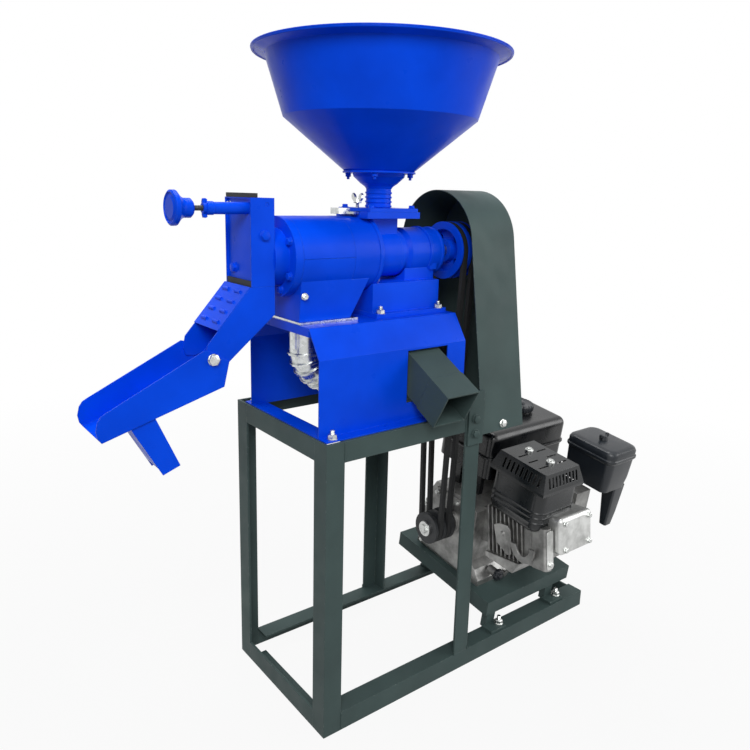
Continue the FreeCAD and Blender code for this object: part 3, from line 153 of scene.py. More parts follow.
def sprayed_enamel(name, colour, deeper, paler, roughness, edge_wear_and_highlight, edge_wear_and_highlight_strength, gloss):
    """Enamel sprayed on folded sheet: faint orange peel about 2 mm across, rounded shining folds,
    dust in broad clouds, and along the edges chipped paint over a painted highlight that lightens every
    edge."""
    paint, nodes, shader = new_material(name)
    place = nodes.add("ShaderNodeTexCoord")["Object"]
    clouds = nodes.add("ShaderNodeTexNoise", Vector=place, Scale=per(90), Detail=4.0)[0]
    spread = nodes.add("ShaderNodeMapRange", i0=clouds, i1=0.3, i2=0.7, i3=0.0, i4=1.0)[0]
    body = nodes.add("ShaderNodeMix", RGBA, i0=spread, i6=linear(deeper), i7=linear(paler))[2]
    body = nodes.add("ShaderNodeMix", RGBA, i0=0.5, i6=linear(colour), i7=body)[2]
    fold = nodes.add("ShaderNodeBevel", BEVEL, Radius=1.4 * MM)[0]
    face = nodes.add("ShaderNodeNewGeometry")["Normal"]
    same = nodes.add("ShaderNodeVectorMath", DOT, i0=fold, i1=face)["Value"]
    edge = nodes.add("ShaderNodeMapRange", i0=same, i1=0.995, i2=0.9, i3=0.0, i4=1.0)[0]
    # Paler paint along every edge: a painted highlight of at least 0.12 everywhere, rising to chipped paint
    # in noisy patches.
    nicks = nodes.add("ShaderNodeTexNoise", Vector=place, Scale=per(7), Detail=5.0)[0]
    chips_and_highlight_spread = nodes.add("ShaderNodeMapRange", i0=nicks, i1=0.56, i2=0.64, i3=0.12, i4=1.0)[0]
    wear_and_highlight = nodes.add("ShaderNodeMath", TIMES, i0=edge, i1=chips_and_highlight_spread)[0]
    wear_and_highlight = nodes.add("ShaderNodeMath", TIMES, i0=wear_and_highlight, i1=edge_wear_and_highlight_strength)[0]
    body = nodes.add("ShaderNodeMix", RGBA, i0=wear_and_highlight, i6=body, i7=linear(edge_wear_and_highlight))[2]
    smears = nodes.add("ShaderNodeTexNoise", Vector=place, Scale=per(35), Detail=3.0)[0]
    dull = nodes.add(
        "ShaderNodeMapRange", i0=smears, i1=0.3, i2=0.7, i3=roughness - 0.05, i4=roughness + 0.08
    )[0]
    peel = nodes.add("ShaderNodeTexNoise", Vector=place, Scale=per(2.2), Detail=1.5)[0]
    skin = nodes.add("ShaderNodeBump", Height=peel, Distance=0.03 * MM, Strength=0.6, Normal=fold)[0]
    nodes.plug(
        shader, Base_Color=body, Roughness=dull, Normal=skin, IOR=1.5, Specular_IOR_Level=gloss
    )
    return paint


def plated_steel(name, dark, pale):
    """Bright zinc on bolts and washers: pale metal whose gloss is slightly cloudy."""
    zinc, nodes, shader = new_material(name)
    place = nodes.add("ShaderNodeTexCoord")["Object"]
    clouds = nodes.add("ShaderNodeTexNoise", Vector=place, Scale=per(3), Detail=3.0)[0]
    tone = nodes.add("ShaderNodeMix", RGBA, i0=clouds, i6=linear(dark), i7=linear(pale))[2]
    dull = nodes.add("ShaderNodeMapRange", i0=clouds, i1=0.3, i2=0.7, i3=0.22, i4=0.4)[0]
    nodes.plug(shader, Base_Color=tone, Roughness=dull, Metallic=1.0)
    return zinc


def galvanised_sheet():
    """Hot-dip galvanised sheet: pale metal with soft spangles about 6 mm across."""
    sheet, nodes, shader = new_material("galvanised_sheet")
    place = nodes.add("ShaderNodeTexCoord")["Object"]
    spangle = nodes.add("ShaderNodeTexVoronoi", Vector=place, Scale=per(6))["Color"]
    tone = nodes.add("ShaderNodeSeparateColor", Color=spangle)[0]
    zinc = nodes.add("ShaderNodeMix", RGBA, i0=tone, i6=linear("#BEC1C0"), i7=linear("#D6D9D8"))[2]
    dull = nodes.add("ShaderNodeMapRange", i0=tone, i1=0.0, i2=1.0, i3=0.2, i4=0.28)[0]
    fold = nodes.add("ShaderNodeBevel", BEVEL, Radius=1.0 * MM)[0]
    nodes.plug(shader, Base_Color=zinc, Roughness=dull, Normal=fold, Metallic=1.0)
    return sheet


def die_cast_alloy(name, dark, pale, roughness):
    """Die-cast aluminium of a small engine: shot-blasted grit, soft edges and oily stains."""
    cast, nodes, shader = new_material(name)
    place = nodes.add("ShaderNodeTexCoord")["Object"]
    stains = nodes.add(
        "ShaderNodeTexNoise", Vector=place, Scale=per(34), Detail=5.0, Roughness=0.6
    )[0]
    spread = nodes.add("ShaderNodeMapRange", i0=stains, i1=0.3, i2=0.62, i3=0.0, i4=1.0)[0]
    tone = nodes.add("ShaderNodeMix", RGBA, i0=spread, i6=linear(dark), i7=linear(pale))[2]
    dull = nodes.add(
        "ShaderNodeMapRange", i0=spread, i1=0.0, i2=1.0, i3=roughness + 0.12, i4=roughness
    )[0]
    grit = nodes.add("ShaderNodeTexNoise", Vector=place, Scale=per(0.9), Detail=2.0)[0]
    soft = nodes.add("ShaderNodeBevel", BEVEL, Radius=1.6 * MM)[0]
    skin = nodes.add("ShaderNodeBump", Height=grit, Distance=0.08 * MM, Strength=0.5, Normal=soft)[0]
    nodes.plug(shader, Base_Color=tone, Roughness=dull, Normal=skin, Metallic=0.9)
    return cast


def moulded_plastic(name, dark, pale, roughness):
    """Moulded plastic: spark-eroded grain under 1 mm, soft corners and a low sheen."""
    plastic, nodes, shader = new_material(name)
    place = nodes.add("ShaderNodeTexCoord")["Object"]
    clouds = nodes.add("ShaderNodeTexNoise", Vector=place, Scale=per(30), Detail=3.0)[0]
    tone = nodes.add("ShaderNodeMix", RGBA, i0=clouds, i6=linear(dark), i7=linear(pale))[2]
    dull = nodes.add(
        "ShaderNodeMapRange", i0=clouds, i1=0.3, i2=0.7, i3=roughness - 0.05, i4=roughness + 0.05
    )[0]
    grain = nodes.add("ShaderNodeTexNoise", Vector=place, Scale=per(0.8), Detail=1.0)[0]
    soft = nodes.add("ShaderNodeBevel", BEVEL, Radius=2.2 * MM)[0]
    skin = nodes.add("ShaderNodeBump", Height=grain, Distance=0.03 * MM, Strength=0.4, Normal=soft)[0]
    nodes.plug(shader, Base_Color=tone, Roughness=dull, Normal=skin, IOR=1.46)
    return plastic


def turned_steel():
    """Turned and ground steel: fine rings of lighter and darker metal about the shaft."""
    steel, nodes, shader = new_material("turned_steel")
    place = nodes.add("ShaderNodeTexCoord")["Object"]
    along = nodes.add("ShaderNodeMapping", Vector=place, Scale=(1, 0.05, 0.05))[0]
    rings = nodes.add("ShaderNodeTexNoise", Vector=along, Scale=per(0.7), Detail=2.0)[0]
    tone = nodes.add("ShaderNodeMix", RGBA, i0=rings, i6=linear("#858686"), i7=linear("#CBCCCD"))[2]
    dull = nodes.add("ShaderNodeMapRange", i0=rings, i1=0.3, i2=0.7, i3=0.25, i4=0.4)[0]
    nodes.plug(shader, Base_Color=tone, Roughness=dull, Metallic=1.0)
    return steel


def sand_cast_iron():
    """Rough iron casting under thin black paint: matt, with sand grain about 1 mm."""
    iron, nodes, shader = new_material("sand_cast_iron")
    place = nodes.add("ShaderNodeTexCoord")["Object"]
    clouds = nodes.add("ShaderNodeTexNoise", Vector=place, Scale=per(14), Detail=4.0)[0]
    tone = nodes.add("ShaderNodeMix", RGBA, i0=clouds, i6=linear("#101214"), i7=linear("#2C2F32"))[2]
    sand = nodes.add("ShaderNodeTexNoise", Vector=place, Scale=per(1.2), Detail=3.0)[0]
    soft = nodes.add("ShaderNodeBevel", BEVEL, Radius=1.2 * MM)[0]
    skin = nodes.add("ShaderNodeBump", Height=sand, Distance=0.1 * MM, Strength=0.5, Normal=soft)[0]
    dull = nodes.add("ShaderNodeMapRange", i0=clouds, i1=0.3, i2=0.7, i3=0.42, i4=0.6)[0]
    nodes.plug(shader, Base_Color=tone, Roughness=dull, Normal=skin, IOR=1.5)
    return iron


def wrapped_belt_rubber():
    """Fabric-wrapped V-belt rubber: nearly black and matt, its 1 mm cords just showing."""
    rubber, nodes, shader = new_material("wrapped_belt_rubber")
    place = nodes.add("ShaderNodeTexCoord")["Object"]
    cords = nodes.add("ShaderNodeTexNoise", Vector=place, Scale=per(1.0), Detail=1.0)[0]
    tone = nodes.add("ShaderNodeMix", RGBA, i0=cords, i6=linear("#0B0C0D"), i7=linear("#202223"))[2]
    skin = nodes.add("ShaderNodeBump", Height=cords, Distance=0.1 * MM, Strength=0.5)[0]
    nodes.plug(shader, Base_Color=tone, Normal=skin, Roughness=0.75, IOR=1.5)
    return rubber


BLUE = sprayed_enamel(
    "blue_gloss_enamel", "#0045DC", "#003CC6", "#0450F0", 0.32, "#4A78E0", 0.5, 0.08
)
GREY_GREEN = sprayed_enamel(
    "grey_green_enamel", "#3F4E4D", "#384544", "#475856", 0.45, "#8B9793", 0.7, 0.12
)
BLACK_ENAMEL = sprayed_enamel(
    "black_gloss_enamel", "#0A0C0F", "#07080A", "#101316", 0.26, "#30343A", 0.4, 0.5
)
HEAT_BLACK = sprayed_enamel(
    "black_heat_enamel", "#0A0E11", "#070A0C", "#12171A", 0.26, "#3A4046", 0.5, 0.5
)
ZINC = plated_steel("zinc_plated_steel", "#A2A4A2", "#E2E4E2")
GALVANISED = galvanised_sheet()
ALLOY = die_cast_alloy("die_cast_alloy", "#6C6C6B", "#A6A6A4", 0.42)
PALE_ALLOY = die_cast_alloy("pale_die_cast_alloy", "#A4A5A3", "#D6D7D5", 0.32)
PLASTIC = moulded_plastic("black_moulded_plastic", "#14181D", "#1E2329", 0.34)
STEEL = turned_steel()
IRON = sand_cast_iron()
RUBBER = wrapped_belt_rubber()

FINISH_OF = {
    GREY_GREEN: (
        "leg_front_left leg_rear_left leg_front_right leg_rear_right lower_frame lower_left_rail "
        "upper_frame guard_stay_front guard_stay_rear belt_guard fan_housing engine_plate"
    ),
    BLUE: (
        "mill_base bran_hopper roller_cover feed_body outlet_ring pedestal bearing_housing "
        "hopper_neck hopper outlet_box chute chute_cover trough mill_pulley pressure_knob pressure_flap"
    ),
    GALVANISED: "suction_duct slide_gate",
    ZINC: "gate_screw",
    STEEL: (
        "main_shaft fan_shaft crankshaft rice_screen pressure_screw bearing_inner bearing_outer"
    ),
    IRON: "milling_roller feed_screw fan_pulley engine_pulley flywheel impeller",
    PLASTIC: "air_cleaner oil_cap recoil_handle throttle_lever engine_switch fuel_cap",
    RUBBER: "belt_left belt_right",
    BLACK_ENAMEL: "fuel_tank blower_housing",
    ALLOY: "crankcase cylinder carburettor",
    PALE_ALLOY: "valve_cover",
    HEAT_BLACK: "muffler muffler_guard",
}


def finish_cad_pieces():
    for material, names in FINISH_OF.items():
        for name in names.split():
            mesh = frame["nodes"][name].data
            mesh.materials.clear()
            mesh.materials.append(material)


# ---------------------------------------------------------------- making pieces


def piece(name, fill, material, body="stand", smooth=35):
    """Makes a mesh object from a function that fills a bmesh, and lets it ride on a body."""
    bm = bmesh.new()
    fill(bm)
    bmesh.ops.remove_doubles(bm, verts=bm.verts, dist=0.001 * MM)
    bmesh.ops.recalc_face_normals(bm, faces=bm.faces)
    mesh = bpy.data.meshes.new(name)
    bm.to_mesh(mesh)
    bm.free()
    obj = bpy.data.objects.new(name, mesh)
    bpy.context.scene.collection.objects.link(obj)
    mesh.materials.append(material)
    mesh.shade_smooth()
    mesh.set_sharp_from_angle(angle=math.radians(smooth))
    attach(obj, body)
    return obj


def stood(place, way):
    """Stands local +Z along way at place."""
    turn = Vector(way).normalized().to_track_quat("Z", "Y").to_matrix().to_4x4()
    return Matrix.Translation(place) @ turn


def join_rings(bm, rings):
    """Faces between rings of equal count; a ring of one vertex closes to a point."""
    for low, high in zip(rings, rings[1:]):
        count = max(len(low), len(high))
        for i in range(count):
            j = (i + 1) % count
            if len(low) == 1:
                bm.faces.new((low[0], high[i], high[j]))
            elif len(high) == 1:
                bm.faces.new((low[i], high[0], low[j]))
            else:
                bm.faces.new((low[i], high[i], high[j], low[j]))


def lathe(bm, profile, place, way, sides=40, flutes=0, flute_depth=0.0):
    """Turns (radius, height) pairs in millimetres about the direction way.

    Flutes scallop the rings, as on a cap made to be gripped.
    """
    pose = stood(place, way)
    rings = []
    for radius, height in profile:
        count = sides if radius > 1e-6 else 1
        ring = []
        for i in range(count):
            turn = math.tau * i / sides
            reach = radius - flute_depth * (0.5 - 0.5 * math.cos(flutes * turn)) if count > 1 else 0
            ring.append(bm.verts.new(pose @ at(reach * math.cos(turn), reach * math.sin(turn), height)))
        rings.append(ring)
    join_rings(bm, rings)


def hex_head(bm, place, way, across, height):
    """Bolt head or nut with its chamfered top."""
    corner = across / math.sqrt(3)
    lathe(bm, [(0, 0), (corner, 0), (corner, height * 0.84), (across * 0.47, height), (0, height)],
          place, way, 6)


def thread(bm, place, way, radius, start, end, pitch=1.5):
    """Threaded stud between two heights, its turns drawn as rings."""
    root = radius * 0.86
    profile = [(0, start), (root, start)]
    turns = max(2, round((end - start) / pitch))
    step = (end - start) / turns
    for turn in range(turns):
        z = start + turn * step
        profile += [(radius, z + step * 0.35), (root, z + step * 0.9)]
    lathe(bm, profile + [(root, end), (0, end)], place, way, 20)


def bolt(bm, place, way, across=13, height=5.6, washer=1.6, washer_radius=0, stud=0):
    """Hex head on its washer, seated at place; a stud is the thread that stands past the nut."""
    place = Vector(place)
    way = Vector(way).normalized()
    if washer:
        rim = washer_radius or across * 0.66
        lathe(bm, [(0, 0), (rim, 0), (rim, washer - 0.4), (rim - 0.4, washer), (0, washer)],
              place, way, 28)
    hex_head(bm, place + way * washer * MM, way, across, height)
    if stud:
        top = washer + height
        thread(bm, place, way, across * 0.29, top - 0.5, top + stud)


def bolts(name, places, material=ZINC, body="stand", **kind):
    """One piece for a row of equal bolts; places are (place, way)."""

    def fill(bm):
        for place, way in places:
            bolt(bm, place, way, **kind)

    return piece(name, fill, material, body)


def slab(bm, corners, thickness, way):
    """A flat plate: an outline of places, made thick along way."""
    push = Vector(way).normalized() * thickness * MM
    low = [bm.verts.new(Vector(corner)) for corner in corners]
    high = [bm.verts.new(Vector(corner) + push) for corner in corners]
    bm.faces.new(low[::-1])
    bm.faces.new(high)
    join_rings(bm, [low, high])


def bead(bm, start, end, radius=1.8, scale_long=2.6):
    """A weld bead: overlapping scales along a seam."""
    run = Vector(end) - Vector(start)
    long = run.length / MM
    count = max(3, round(long / scale_long))
    profile = [(0, 0)]
    for i in range(count):
        z = long * (i + 0.5) / count
        profile += [(radius, z), (radius * 0.78, z + long / count * 0.45)]
    lathe(bm, profile + [(0, long)], Vector(start), run, 12)


# ---------------------------------------------------------------- mill head and its base


def make_mill_fasteners():
    base_low, base_high = span("mill_base")
    flange = base_low.z + 2
    pedestal_low, _ = span("pedestal")
    bolts("base_bolts", [
        (at(x, y, flange), Z)
        for x in (base_low.x + 18, base_high.x - 18)
        for y in (base_low.y + 11, base_high.y - 5)
    ], across=13.5, height=6, stud=7)
    bolts("pedestal_bolts", [
        (at(pedestal_low.x + x, MILL.y + side * 59, pedestal_low.z + 8), Z)
        for x in (13, 145)
        for side in (-1, 1)
    ], across=12.6, height=5.4, stud=5)

    ring_low, _ = span("outlet_ring")
    seat = ring_low.x + 25
    circle = 54
    places = []
    for turn in (-60, -20, 20, 60, 120, 240):
        angle = math.radians(turn)
        place = at(seat, MILL.y + circle * math.sin(angle), MILL.z - circle * math.cos(angle))
        places.append((place, -X))
    bolts("outlet_ring_bolts", places, BLUE, across=10.6, height=5.2, washer=1.4)

    bran_low, _ = span("bran_hopper")
    bolts("bran_hopper_bolts", [
        (at(bran_low.x + 8, MILL.y + side * 53, 744), Y * side) for side in (-1, 1)
    ], across=9, height=4, washer=1.2)


def make_hopper_details():
    low, high = span("hopper")
    x = (low.x + high.x) / 2
    y = (low.y + high.y) / 2
    rim = (high.x - low.x) / 2
    wire = 2.2

    def rolled_rim(bm):
        """Wire rolled into the edge of the hopper's rim."""
        turns = [math.tau * i / 12 for i in range(13)]
        profile = [
            (rim - 2.6 + wire * math.cos(turn), high.z - 2.8 + wire * math.sin(turn)) for turn in turns
        ]
        lathe(bm, profile, at(x, y, 0), Z, 128)

    piece("hopper_rim_wire", rolled_rim, BLUE)

    circle = 54
    places = []
    for turn in (45, 135, 225, 315):
        angle = math.radians(turn)
        place = at(x + circle * math.cos(angle), y + circle * math.sin(angle), low.z - 3)
        places.append((place, -Z))
    bolts("hopper_bolts", places, BLUE, across=9, height=5.4, washer=1.2, stud=4)

    neck_low, _ = span("hopper_neck")
    plate_top = neck_low.z + 6
    bolts("neck_plate_bolts", [
        (at(x + along, y + side * 38, plate_top), Z) for along in (-44, 44) for side in (-1, 1)
    ], BLUE, across=9, height=4, washer=1.2)

    place = at(GATE_SCREW.x, GATE_SCREW.y, neck_low.z)

    def wing_screw(bm):
        """Wing screw that clamps the slide gate."""
        thread(bm, place, Z, 3.0, 0, 15, 1.4)
        lathe(bm, [(0, 13.5), (6.3, 13.5), (7, 15), (5.4, 21), (4, 24), (0, 24)], place, Z, 24)
        for side in (-1, 1):
            outline = [(3, 16), (10, 17.5), (14.4, 22), (14.6, 27), (12, 30.4), (8, 28), (4, 22)]
            corners = [place + at(-2.2, side * out, up) for out, up in outline]
            slab(bm, corners, 4.4, X)

    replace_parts(piece("gate_wing_screw", wing_screw, ZINC, "gate_lock"), "gate_screw")


def make_outlet_details():
    low, high = span("outlet_box")
    left = -73  # the box's left wall, which its screw tube and ears stand past
    recess = left + 4
    face = low.y + 5
    back = high.y
    top = high.z - 6
    bottom = low.z
    bolts("outlet_front_bolt", [
        (at(-50, face, 839), -Y)
    ], BLUE, across=12.6, height=4, washer=1.4)
    bolts("outlet_end_bolt", [
        (at(recess, face + 62, 787), -X)
    ], BLUE, across=12.6, height=5, washer=1.4)
    bolts("outlet_top_bolt", [(at(recess, back - 10, top - 11), -X)], across=8, height=4, washer=1)

    def block(name, x0, x1, y0, y1, z0, z1, material):
        corners = [at(x0, y0, z0), at(x1, y0, z0), at(x1, y1, z0), at(x0, y1, z0)]
        return piece(name, lambda bm: slab(bm, corners, z1 - z0, Z), material)

    block(
        "outlet_top_seal", left - 0.6, left + 12.6, face + 1.4, back - 5.4, top + 0.2, top + 6.6, RUBBER
    )
    block("outlet_sill_seal", left + 0.4, recess, face + 2, back - 2, bottom, bottom + 9, RUBBER)

    centre = at(0, PRESSURE.y, PRESSURE.z)

    def lock_nut(bm):
        """Wing nut that locks the pressure screw against its tube."""
        seat = low.x
        collar = [(4.3, seat - 0.6), (7.6, seat - 0.6), (8.2, seat + 4.4), (4.3, seat + 4.4)]
        lathe(bm, collar, centre, X, 28)
        for side in (-1, 1):
            outline = [(5, 4.4), (6, 12.6), (3, 14), (0, 13.6), (-1, 9), (-0.6, 4.4)]
            corners = [centre + at(seat + along, -2.5, side * up) for along, up in outline]
            slab(bm, corners, 5, Y)

    piece("pressure_lock_nut", lock_nut, BLUE)

    screw_low, screw_high = span("pressure_screw")
    _, knob_high = span("pressure_knob")

    def screw(bm):
        """Adjusting screw, threaded all the way from the knob."""
        hidden_end = knob_high.x - 1
        plain = [(0, screw_low.x), (3.9, screw_low.x), (3.9, hidden_end), (0, hidden_end)]
        lathe(bm, plain, centre, X, 20)
        thread(bm, centre, X, 4.0, hidden_end, screw_high.x, 1.6)

    threaded = piece("pressure_screw_thread", screw, IRON, "pressure_set")
    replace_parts(threaded, "pressure_screw")

    chute_low, chute_high = span("chute")
    bolts("chute_pivot_bolts", [
        (at(PIVOT.x, chute_low.y + 5, PIVOT.z), -Y),
        (at(PIVOT.x, chute_high.y - 5, PIVOT.z), Y),
    ], across=15.4, height=5, washer=1.4, washer_radius=9)


# ---------------------------------------------------------------- stand and guard


def make_stand_details():
    frame_low, frame_high = span("upper_frame")
    top = frame_high.z
    front_low, _ = span("guard_stay_front")
    _, rear_high = span("guard_stay_rear")
    bolts("guard_stay_bolts", [
        (at(front_low.x + 16, y, z), way)
        for y, way in ((front_low.y + 5, -Y), (rear_high.y - 5, Y))
        for z in (top - 40, top - 12)
    ], GREY_GREEN, across=13.2, height=5, washer=1.6)

    leg = 35
    lower_low, lower_high = span("lower_frame")

    def welds(bm):
        """Beads where the angle irons of the stand meet."""
        for x in (leg + 1, frame_high.x - leg - 1):
            for y in (frame_low.y, frame_high.y):
                bead(bm, at(x, y, top - leg + 1), at(x, y, top - 2))
        for y in (lower_low.y, lower_high.y):
            bead(bm, at(leg + 1, y, 2), at(leg + 1, y, leg - 1))
            for x in (frame_high.x - leg, frame_high.x):
                bead(bm, at(x, y, leg - 2), at(x, y, leg + 6))

    piece("stand_weld_beads", welds, GREY_GREEN)


def guard_flank(z):
    """Y of the guard's front face at height z, and the way that the face looks."""
    low, high = span("belt_guard")
    radius = 98
    centre_y = (low.y + high.y) / 2
    centre_z = high.z - radius
    foot = centre_y - low.y
    drop = centre_z - low.z
    touch = math.atan2(-drop, foot) + math.acos(radius / math.hypot(foot, drop))
    tangent_y = centre_y - radius * math.cos(touch)
    tangent_z = centre_z + radius * math.sin(touch)
    share = (z - low.z) / (tangent_z - low.z)
    way = Vector((0, low.z - tangent_z, tangent_y - low.y))
    return low.y + share * (tangent_y - low.y), way


def make_guard_details():
    low, _ = span("belt_guard")
    height = low.z + 12
    y, way = guard_flank(height)
    bolts("guard_front_bolt", [(at(low.x + 55, y, height), way)], across=12, height=4.6, washer=1.6)


# ---------------------------------------------------------------- engine


def rounded_ring(bm, low, high, corner, height, grow=0.0):
    """Ring of a box with rounded corners, level on the tilted engine plate."""
    centres = (
        (high[0] - corner, high[1] - corner, 0), (low[0] + corner, high[1] - corner, 90),
        (low[0] + corner, low[1] + corner, 180), (high[0] - corner, low[1] + corner, 270),
    )
    reach = corner + grow
    ring = []
    for x, y, start in centres:
        for step in range(7):
            turn = math.radians(start + 15 * step)
            ring.append(bm.verts.new(on_engine(
                x + reach * math.cos(turn), y + reach * math.sin(turn), height
            )))
    return ring


def close_rings(bm, rings):
    join_rings(bm, rings)
    bm.faces.new(rings[0][::-1])
    bm.faces.new(rings[-1])


def make_engine_fasteners():
    plate_low, _ = span("engine_plate")
    left = plate_low.x
    bolts("plate_foot_bolts", [
        (at(left + x + 35, y + 14, 41), Z) for x, y in ((2, 3), (186, 3), (64, 266), (206, 266))
    ], across=14, height=7.5, washer=1.5, stud=8)

    bosses = ((-68, -88), (70, -88), (72, 4), (44, 46), (-16, 50), (-56, 20), (-60, -40))
    bolts("crankcase_bolts", [(on_engine(416, y, z), -X) for y, z in bosses],
          across=8.2, height=4, washer=1.2, washer_radius=5.2)

    face = engine_way(0, -1, 0, CYLINDER_TILT)
    bolts("valve_cover_bolts", [
        (on_engine(x, -258, z, CYLINDER_TILT), face) for x in (478, 550) for z in (-3, 49)
    ], across=8.5, height=4.5, washer=1.2, washer_radius=6)

    bolts("muffler_guard_bolts", [
        (on_engine(486, y, 206), engine_way(0, 0, 1)) for y in (-172, -118)
    ], across=10, height=3.5, washer=4.3, washer_radius=8.5)

    shaft_low, _ = span("crankshaft")
    hub = Vector(((shaft_low.x + 5) * MM, CRANK.y, CRANK.z))
    bolts("pulley_bolt", [
        (hub, -X)
    ], body="crank", across=16.8, height=3.6, washer=1.7, washer_radius=15.6)


def make_cylinder_details():
    def column(bm):
        """Machined face of the column beside the valve cover."""
        outline = (
            (447, -40), (461, -40), (463, -36), (463, 32), (461, 36), (447, 36), (445, 32), (445, -36)
        )
        corners = [on_engine(x, -239.5, z, CYLINDER_TILT) for x, z in outline]
        slab(bm, corners, 2, engine_way(0, -1, 0, CYLINDER_TILT))

    piece("cylinder_column_face", column, PALE_ALLOY)
    bolts("cylinder_column_bolt", [
        (on_engine(454, -241.5, -30, CYLINDER_TILT), engine_way(0, -1, 0, CYLINDER_TILT))
    ], across=9, height=4, washer=1.2, washer_radius=6.5)

    def bracket(bm):
        """Pressed air guide beside the fins: a plate, and a U-shaped lug below it."""
        face = 436.5
        outer = [math.radians(180 + 180 * i / 14) for i in range(15)]
        lug = [(-190 + 30 * math.cos(turn), -4 + 34 * math.sin(turn)) for turn in outer]
        lug += [(-190 + 17 * math.cos(turn), -4 + 21 * math.sin(turn)) for turn in outer[::-1]]
        guide = ((-116, 20), (-132, 27), (-152, 27), (-160, 18), (-160, -30), (-150, -34), (-122, -14))
        for outline in (lug, guide):
            corners = [on_engine(face, y, z, CYLINDER_TILT) for y, z in outline]
            slab(bm, corners, 3.5, -X)
        bolt(bm, on_engine(face - 3.5, -140, 8, CYLINDER_TILT), -X, across=8, height=3.5, washer=1)

    piece("cylinder_air_guide", bracket, ALLOY)


def make_muffler_details():
    """Round-cornered body of the silencer, ribbed under its guard."""
    body_low, _ = engine_span("muffler")
    guard_low, guard_high = engine_span("muffler_guard")
    inset = 4

    def shell(bm):
        foot = body_low.z
        rows = [(14, 0), (5, 1.5), (1.5, 6), (0, 12)]
        for rib in (22, 33, 44):
            rows += [(0, rib - 2), (-1.4, rib), (0, rib + 2)]
        rows.append((0, guard_low.z + 0.5 - foot))
        close_rings(bm, [
            rounded_ring(
                bm, (guard_low.x + inset + pull, guard_low.y + inset + pull),
                (guard_high.x - inset - pull, guard_high.y - inset - pull), 20, foot + up,
            )
            for pull, up in rows
        ])

    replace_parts(piece("muffler_shell", shell, HEAT_BLACK), "muffler")


def make_tank_details():
    """Rolled seam round the tank where its two pressings meet, and its fluted cap."""
    z = 168

    def seam(bm):
        join_rings(bm, [
            rounded_ring(bm, (440, -64), (672, 85), 16, z + up, grow)
            for grow, up in ((-0.6, -3), (3.2, -2.4), (4, 0), (3.2, 2.4), (-0.6, 3))
        ])

    piece("tank_seam", seam, BLACK_ENAMEL)

    up = engine_way(0, 0, 1)

    def cap(bm):
        place = on_engine(598, 12, 226.3)
        lathe(bm, [(0, 0), (29, 0), (29.5, 2), (29.5, 11), (27, 14)], place, up, 144, 24, 2.2)
        lathe(bm, [(27, 14), (24, 13), (0, 13)], place, up, 144, 24, 1.8)
        lathe(bm, [(0, 10), (9, 10), (9, 15), (7, 16), (0, 16)], place, up, 32)

    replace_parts(piece("fuel_cap_fluted", cap, PLASTIC, "filler_cap"), "fuel_cap")

    def plug(bm):
        way = engine_way(0, -1, 0)
        place = on_engine(466, -112, -80)
        lathe(bm, [(0, 0), (11, 0), (13, 2), (13, 8), (11, 10), (0, 10)], place, way, 96, 12, 1.4)
        lathe(bm, [(0, 9), (6, 9), (5.4, 14), (4, 15), (0, 15)], place, way, 32)

    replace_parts(piece("oil_plug_fluted", plug, PLASTIC, "oil_plug"), "oil_cap")

    def air_box(bm):
        """Moulded box of the air cleaner, stepped at the seam under its domed lid, and its leg."""
        close_rings(bm, [
            rounded_ring(bm, (610 + inset, -228 + inset), (704 - inset, -108 - inset), corner, height)
            for inset, height, corner in (
                (15, 124, 8), (10, 126, 12), (6, 150, 14), (3.4, 192, 16), (1, 195, 17), (0, 197, 17),
                (0, 201, 17), (1.8, 203, 17), (1.4, 212, 18), (3.6, 217, 18), (8, 219.4, 16), (14, 220, 12),
            )
        ])
        close_rings(bm, [
            rounded_ring(bm, (x0, y0), (x1, y1), 4, height)
            for x0, y0, x1, y1, height in (
                (675, -207, 697, -191, 28), (672, -210, 700, -188, 60), (665, -215, 701, -182, 127),
            )
        ])

    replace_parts(piece("air_cleaner_box", air_box, PLASTIC), "air_cleaner")

    def wing_nut(bm):
        place = on_engine(657, -168, 219.6)
        lathe(bm, [(0, 0), (9, 0), (7, 6), (6.4, 9), (0, 9)], place, up, 32)
        for side in (-1, 1):
            outline = [(4, 2.4), (11, 4), (13.4, 8), (13, 12.6), (9, 12.9), (5, 8)]
            corners = [on_engine(657 + side * out, -170.6, 219.6 + high) for out, high in outline]
            slab(bm, corners, 5.2, engine_way(0, 1, 0))

    piece("air_cleaner_wing_nut", wing_nut, PLASTIC)


# ---------------------------------------------------------------- floor, light and camera


def seen_directly(nodes):
    """One for rays from the camera or by way of gloss or glass, nothing for those that light."""
    rays = nodes.add("ShaderNodeLightPath")
    seen = nodes.add("ShaderNodeMath", LARGER, i0=rays["Is Camera Ray"], i1=rays["Is Glossy Ray"])[0]
    return nodes.add("ShaderNodeMath", LARGER, i0=seen, i1=rays["Is Transmission Ray"])[0]


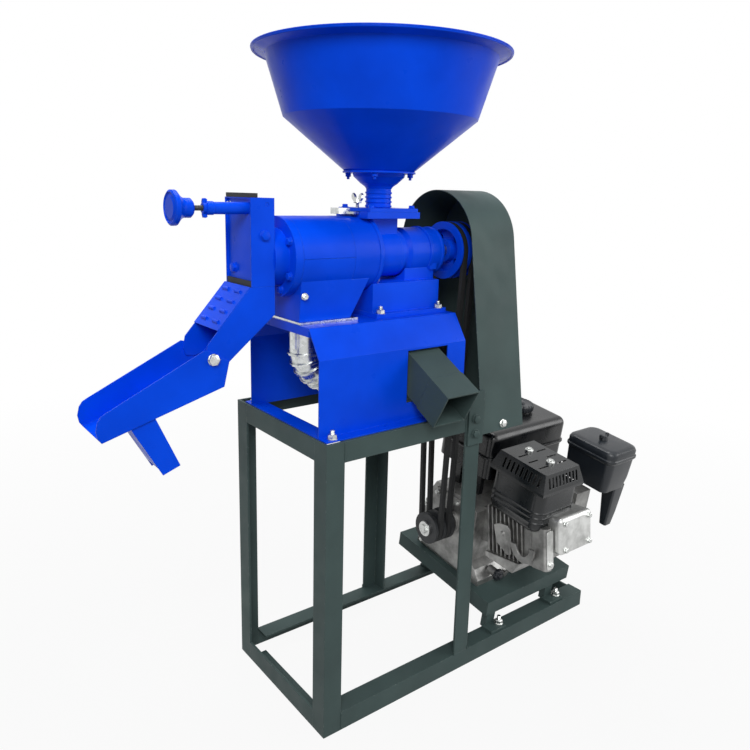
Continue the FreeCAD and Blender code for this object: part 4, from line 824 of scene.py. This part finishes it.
def make_studio():
    world = bpy.data.worlds.new("studio")
    bpy.context.scene.world = world
    world.use_nodes = True
    nodes = Nodes(world.node_tree)
    soft = world.node_tree.nodes["Background"]
    nodes.plug(soft, Color=(1, 1, 1, 1), Strength=0.25)
    white = nodes.add("ShaderNodeBackground", Color=(1, 1, 1, 1), Strength=1.0)[0]
    mixed = nodes.add("ShaderNodeMixShader", i0=seen_directly(nodes), i1=soft.outputs[0], i2=white)[0]
    nodes.plug(world.node_tree.nodes["World Output"], Surface=mixed)

    reach = 12.0
    corners = [(-reach, -reach, 0), (reach, -reach, 0), (reach, reach, 0), (-reach, reach, 0)]
    floor_mesh = bpy.data.meshes.new("floor")
    floor_mesh.from_pydata(corners, [], [(0, 1, 2, 3)])
    floor = bpy.data.objects.new("floor", floor_mesh)
    floor.location.z = -0.0005
    bpy.context.scene.collection.objects.link(floor)
    paper, nodes, shader = new_material("white_paper_floor")
    nodes.plug(shader, Base_Color=linear("#8C8C8C"), Roughness=0.9)
    glow = nodes.add("ShaderNodeEmission", Color=(1, 1, 1, 1), Strength=1.0)[0]
    spot = nodes.add("ShaderNodeNewGeometry")["Position"]
    far = nodes.add("ShaderNodeVectorMath", {"operation": "LENGTH"}, i0=spot)["Value"]
    fade = nodes.add("ShaderNodeMapRange", i0=far, i1=0.6, i2=2.4, i3=0.93, i4=1.0)[0]
    share = nodes.add("ShaderNodeMath", TIMES, i0=seen_directly(nodes), i1=fade)[0]
    mixed = nodes.add("ShaderNodeMixShader", i0=share, i1=shader.outputs[0], i2=glow)[0]
    nodes.plug(paper.node_tree.nodes["Material Output"], Surface=mixed)
    floor_mesh.materials.append(paper)


def make_lamp(name, place, size, power):
    light = bpy.data.lights.new(name, "AREA")
    light.shape = "SQUARE"
    light.size = size
    light.energy = power
    lamp = bpy.data.objects.new(name, light)
    lamp.location = place
    middle = Vector((0.2, 0.1, 0.6))
    lamp.rotation_euler = (middle - Vector(place)).to_track_quat("-Z", "Y").to_euler()
    bpy.context.scene.collection.objects.link(lamp)


def make_camera():
    """The view from the front left, a little above the mill."""
    azimuth = math.radians(-37.78)
    elevation = math.radians(12.54)
    roll = math.radians(1.45)
    back = Vector((
        math.sin(azimuth) * math.cos(elevation),
        -math.cos(azimuth) * math.cos(elevation),
        math.sin(elevation),
    ))
    right = Z.cross(back).normalized()
    up = back.cross(right)
    tipped_right = math.cos(roll) * right + math.sin(roll) * up
    tipped_up = -math.sin(roll) * right + math.cos(roll) * up
    data = bpy.data.cameras.new("camera")
    data.sensor_width = 36.0
    data.lens = 34.0406
    data.shift_x = -0.0003
    data.shift_y = -0.0323
    camera = bpy.data.objects.new("camera", data)
    turn = Matrix((tipped_right, tipped_up, back)).transposed()
    camera.matrix_world = Matrix.Translation((-0.5756, -0.8586, 0.9061)) @ turn.to_4x4()
    bpy.context.scene.collection.objects.link(camera)
    bpy.context.scene.camera = camera


bpy.context.scene.view_settings.view_transform = "Standard"
finish_cad_pieces()
make_mill_fasteners()
make_hopper_details()
make_outlet_details()
make_stand_details()
make_guard_details()
make_engine_fasteners()
make_cylinder_details()
make_muffler_details()
make_tank_details()
make_studio()
make_lamp("key", (-1.6, -2.2, 2.6), 1.6, 86)
make_lamp("fill", (2.4, -1.8, 1.5), 1.8, 36)
make_lamp("top", (0.2, 0.6, 3.0), 1.6, 55)
make_camera()
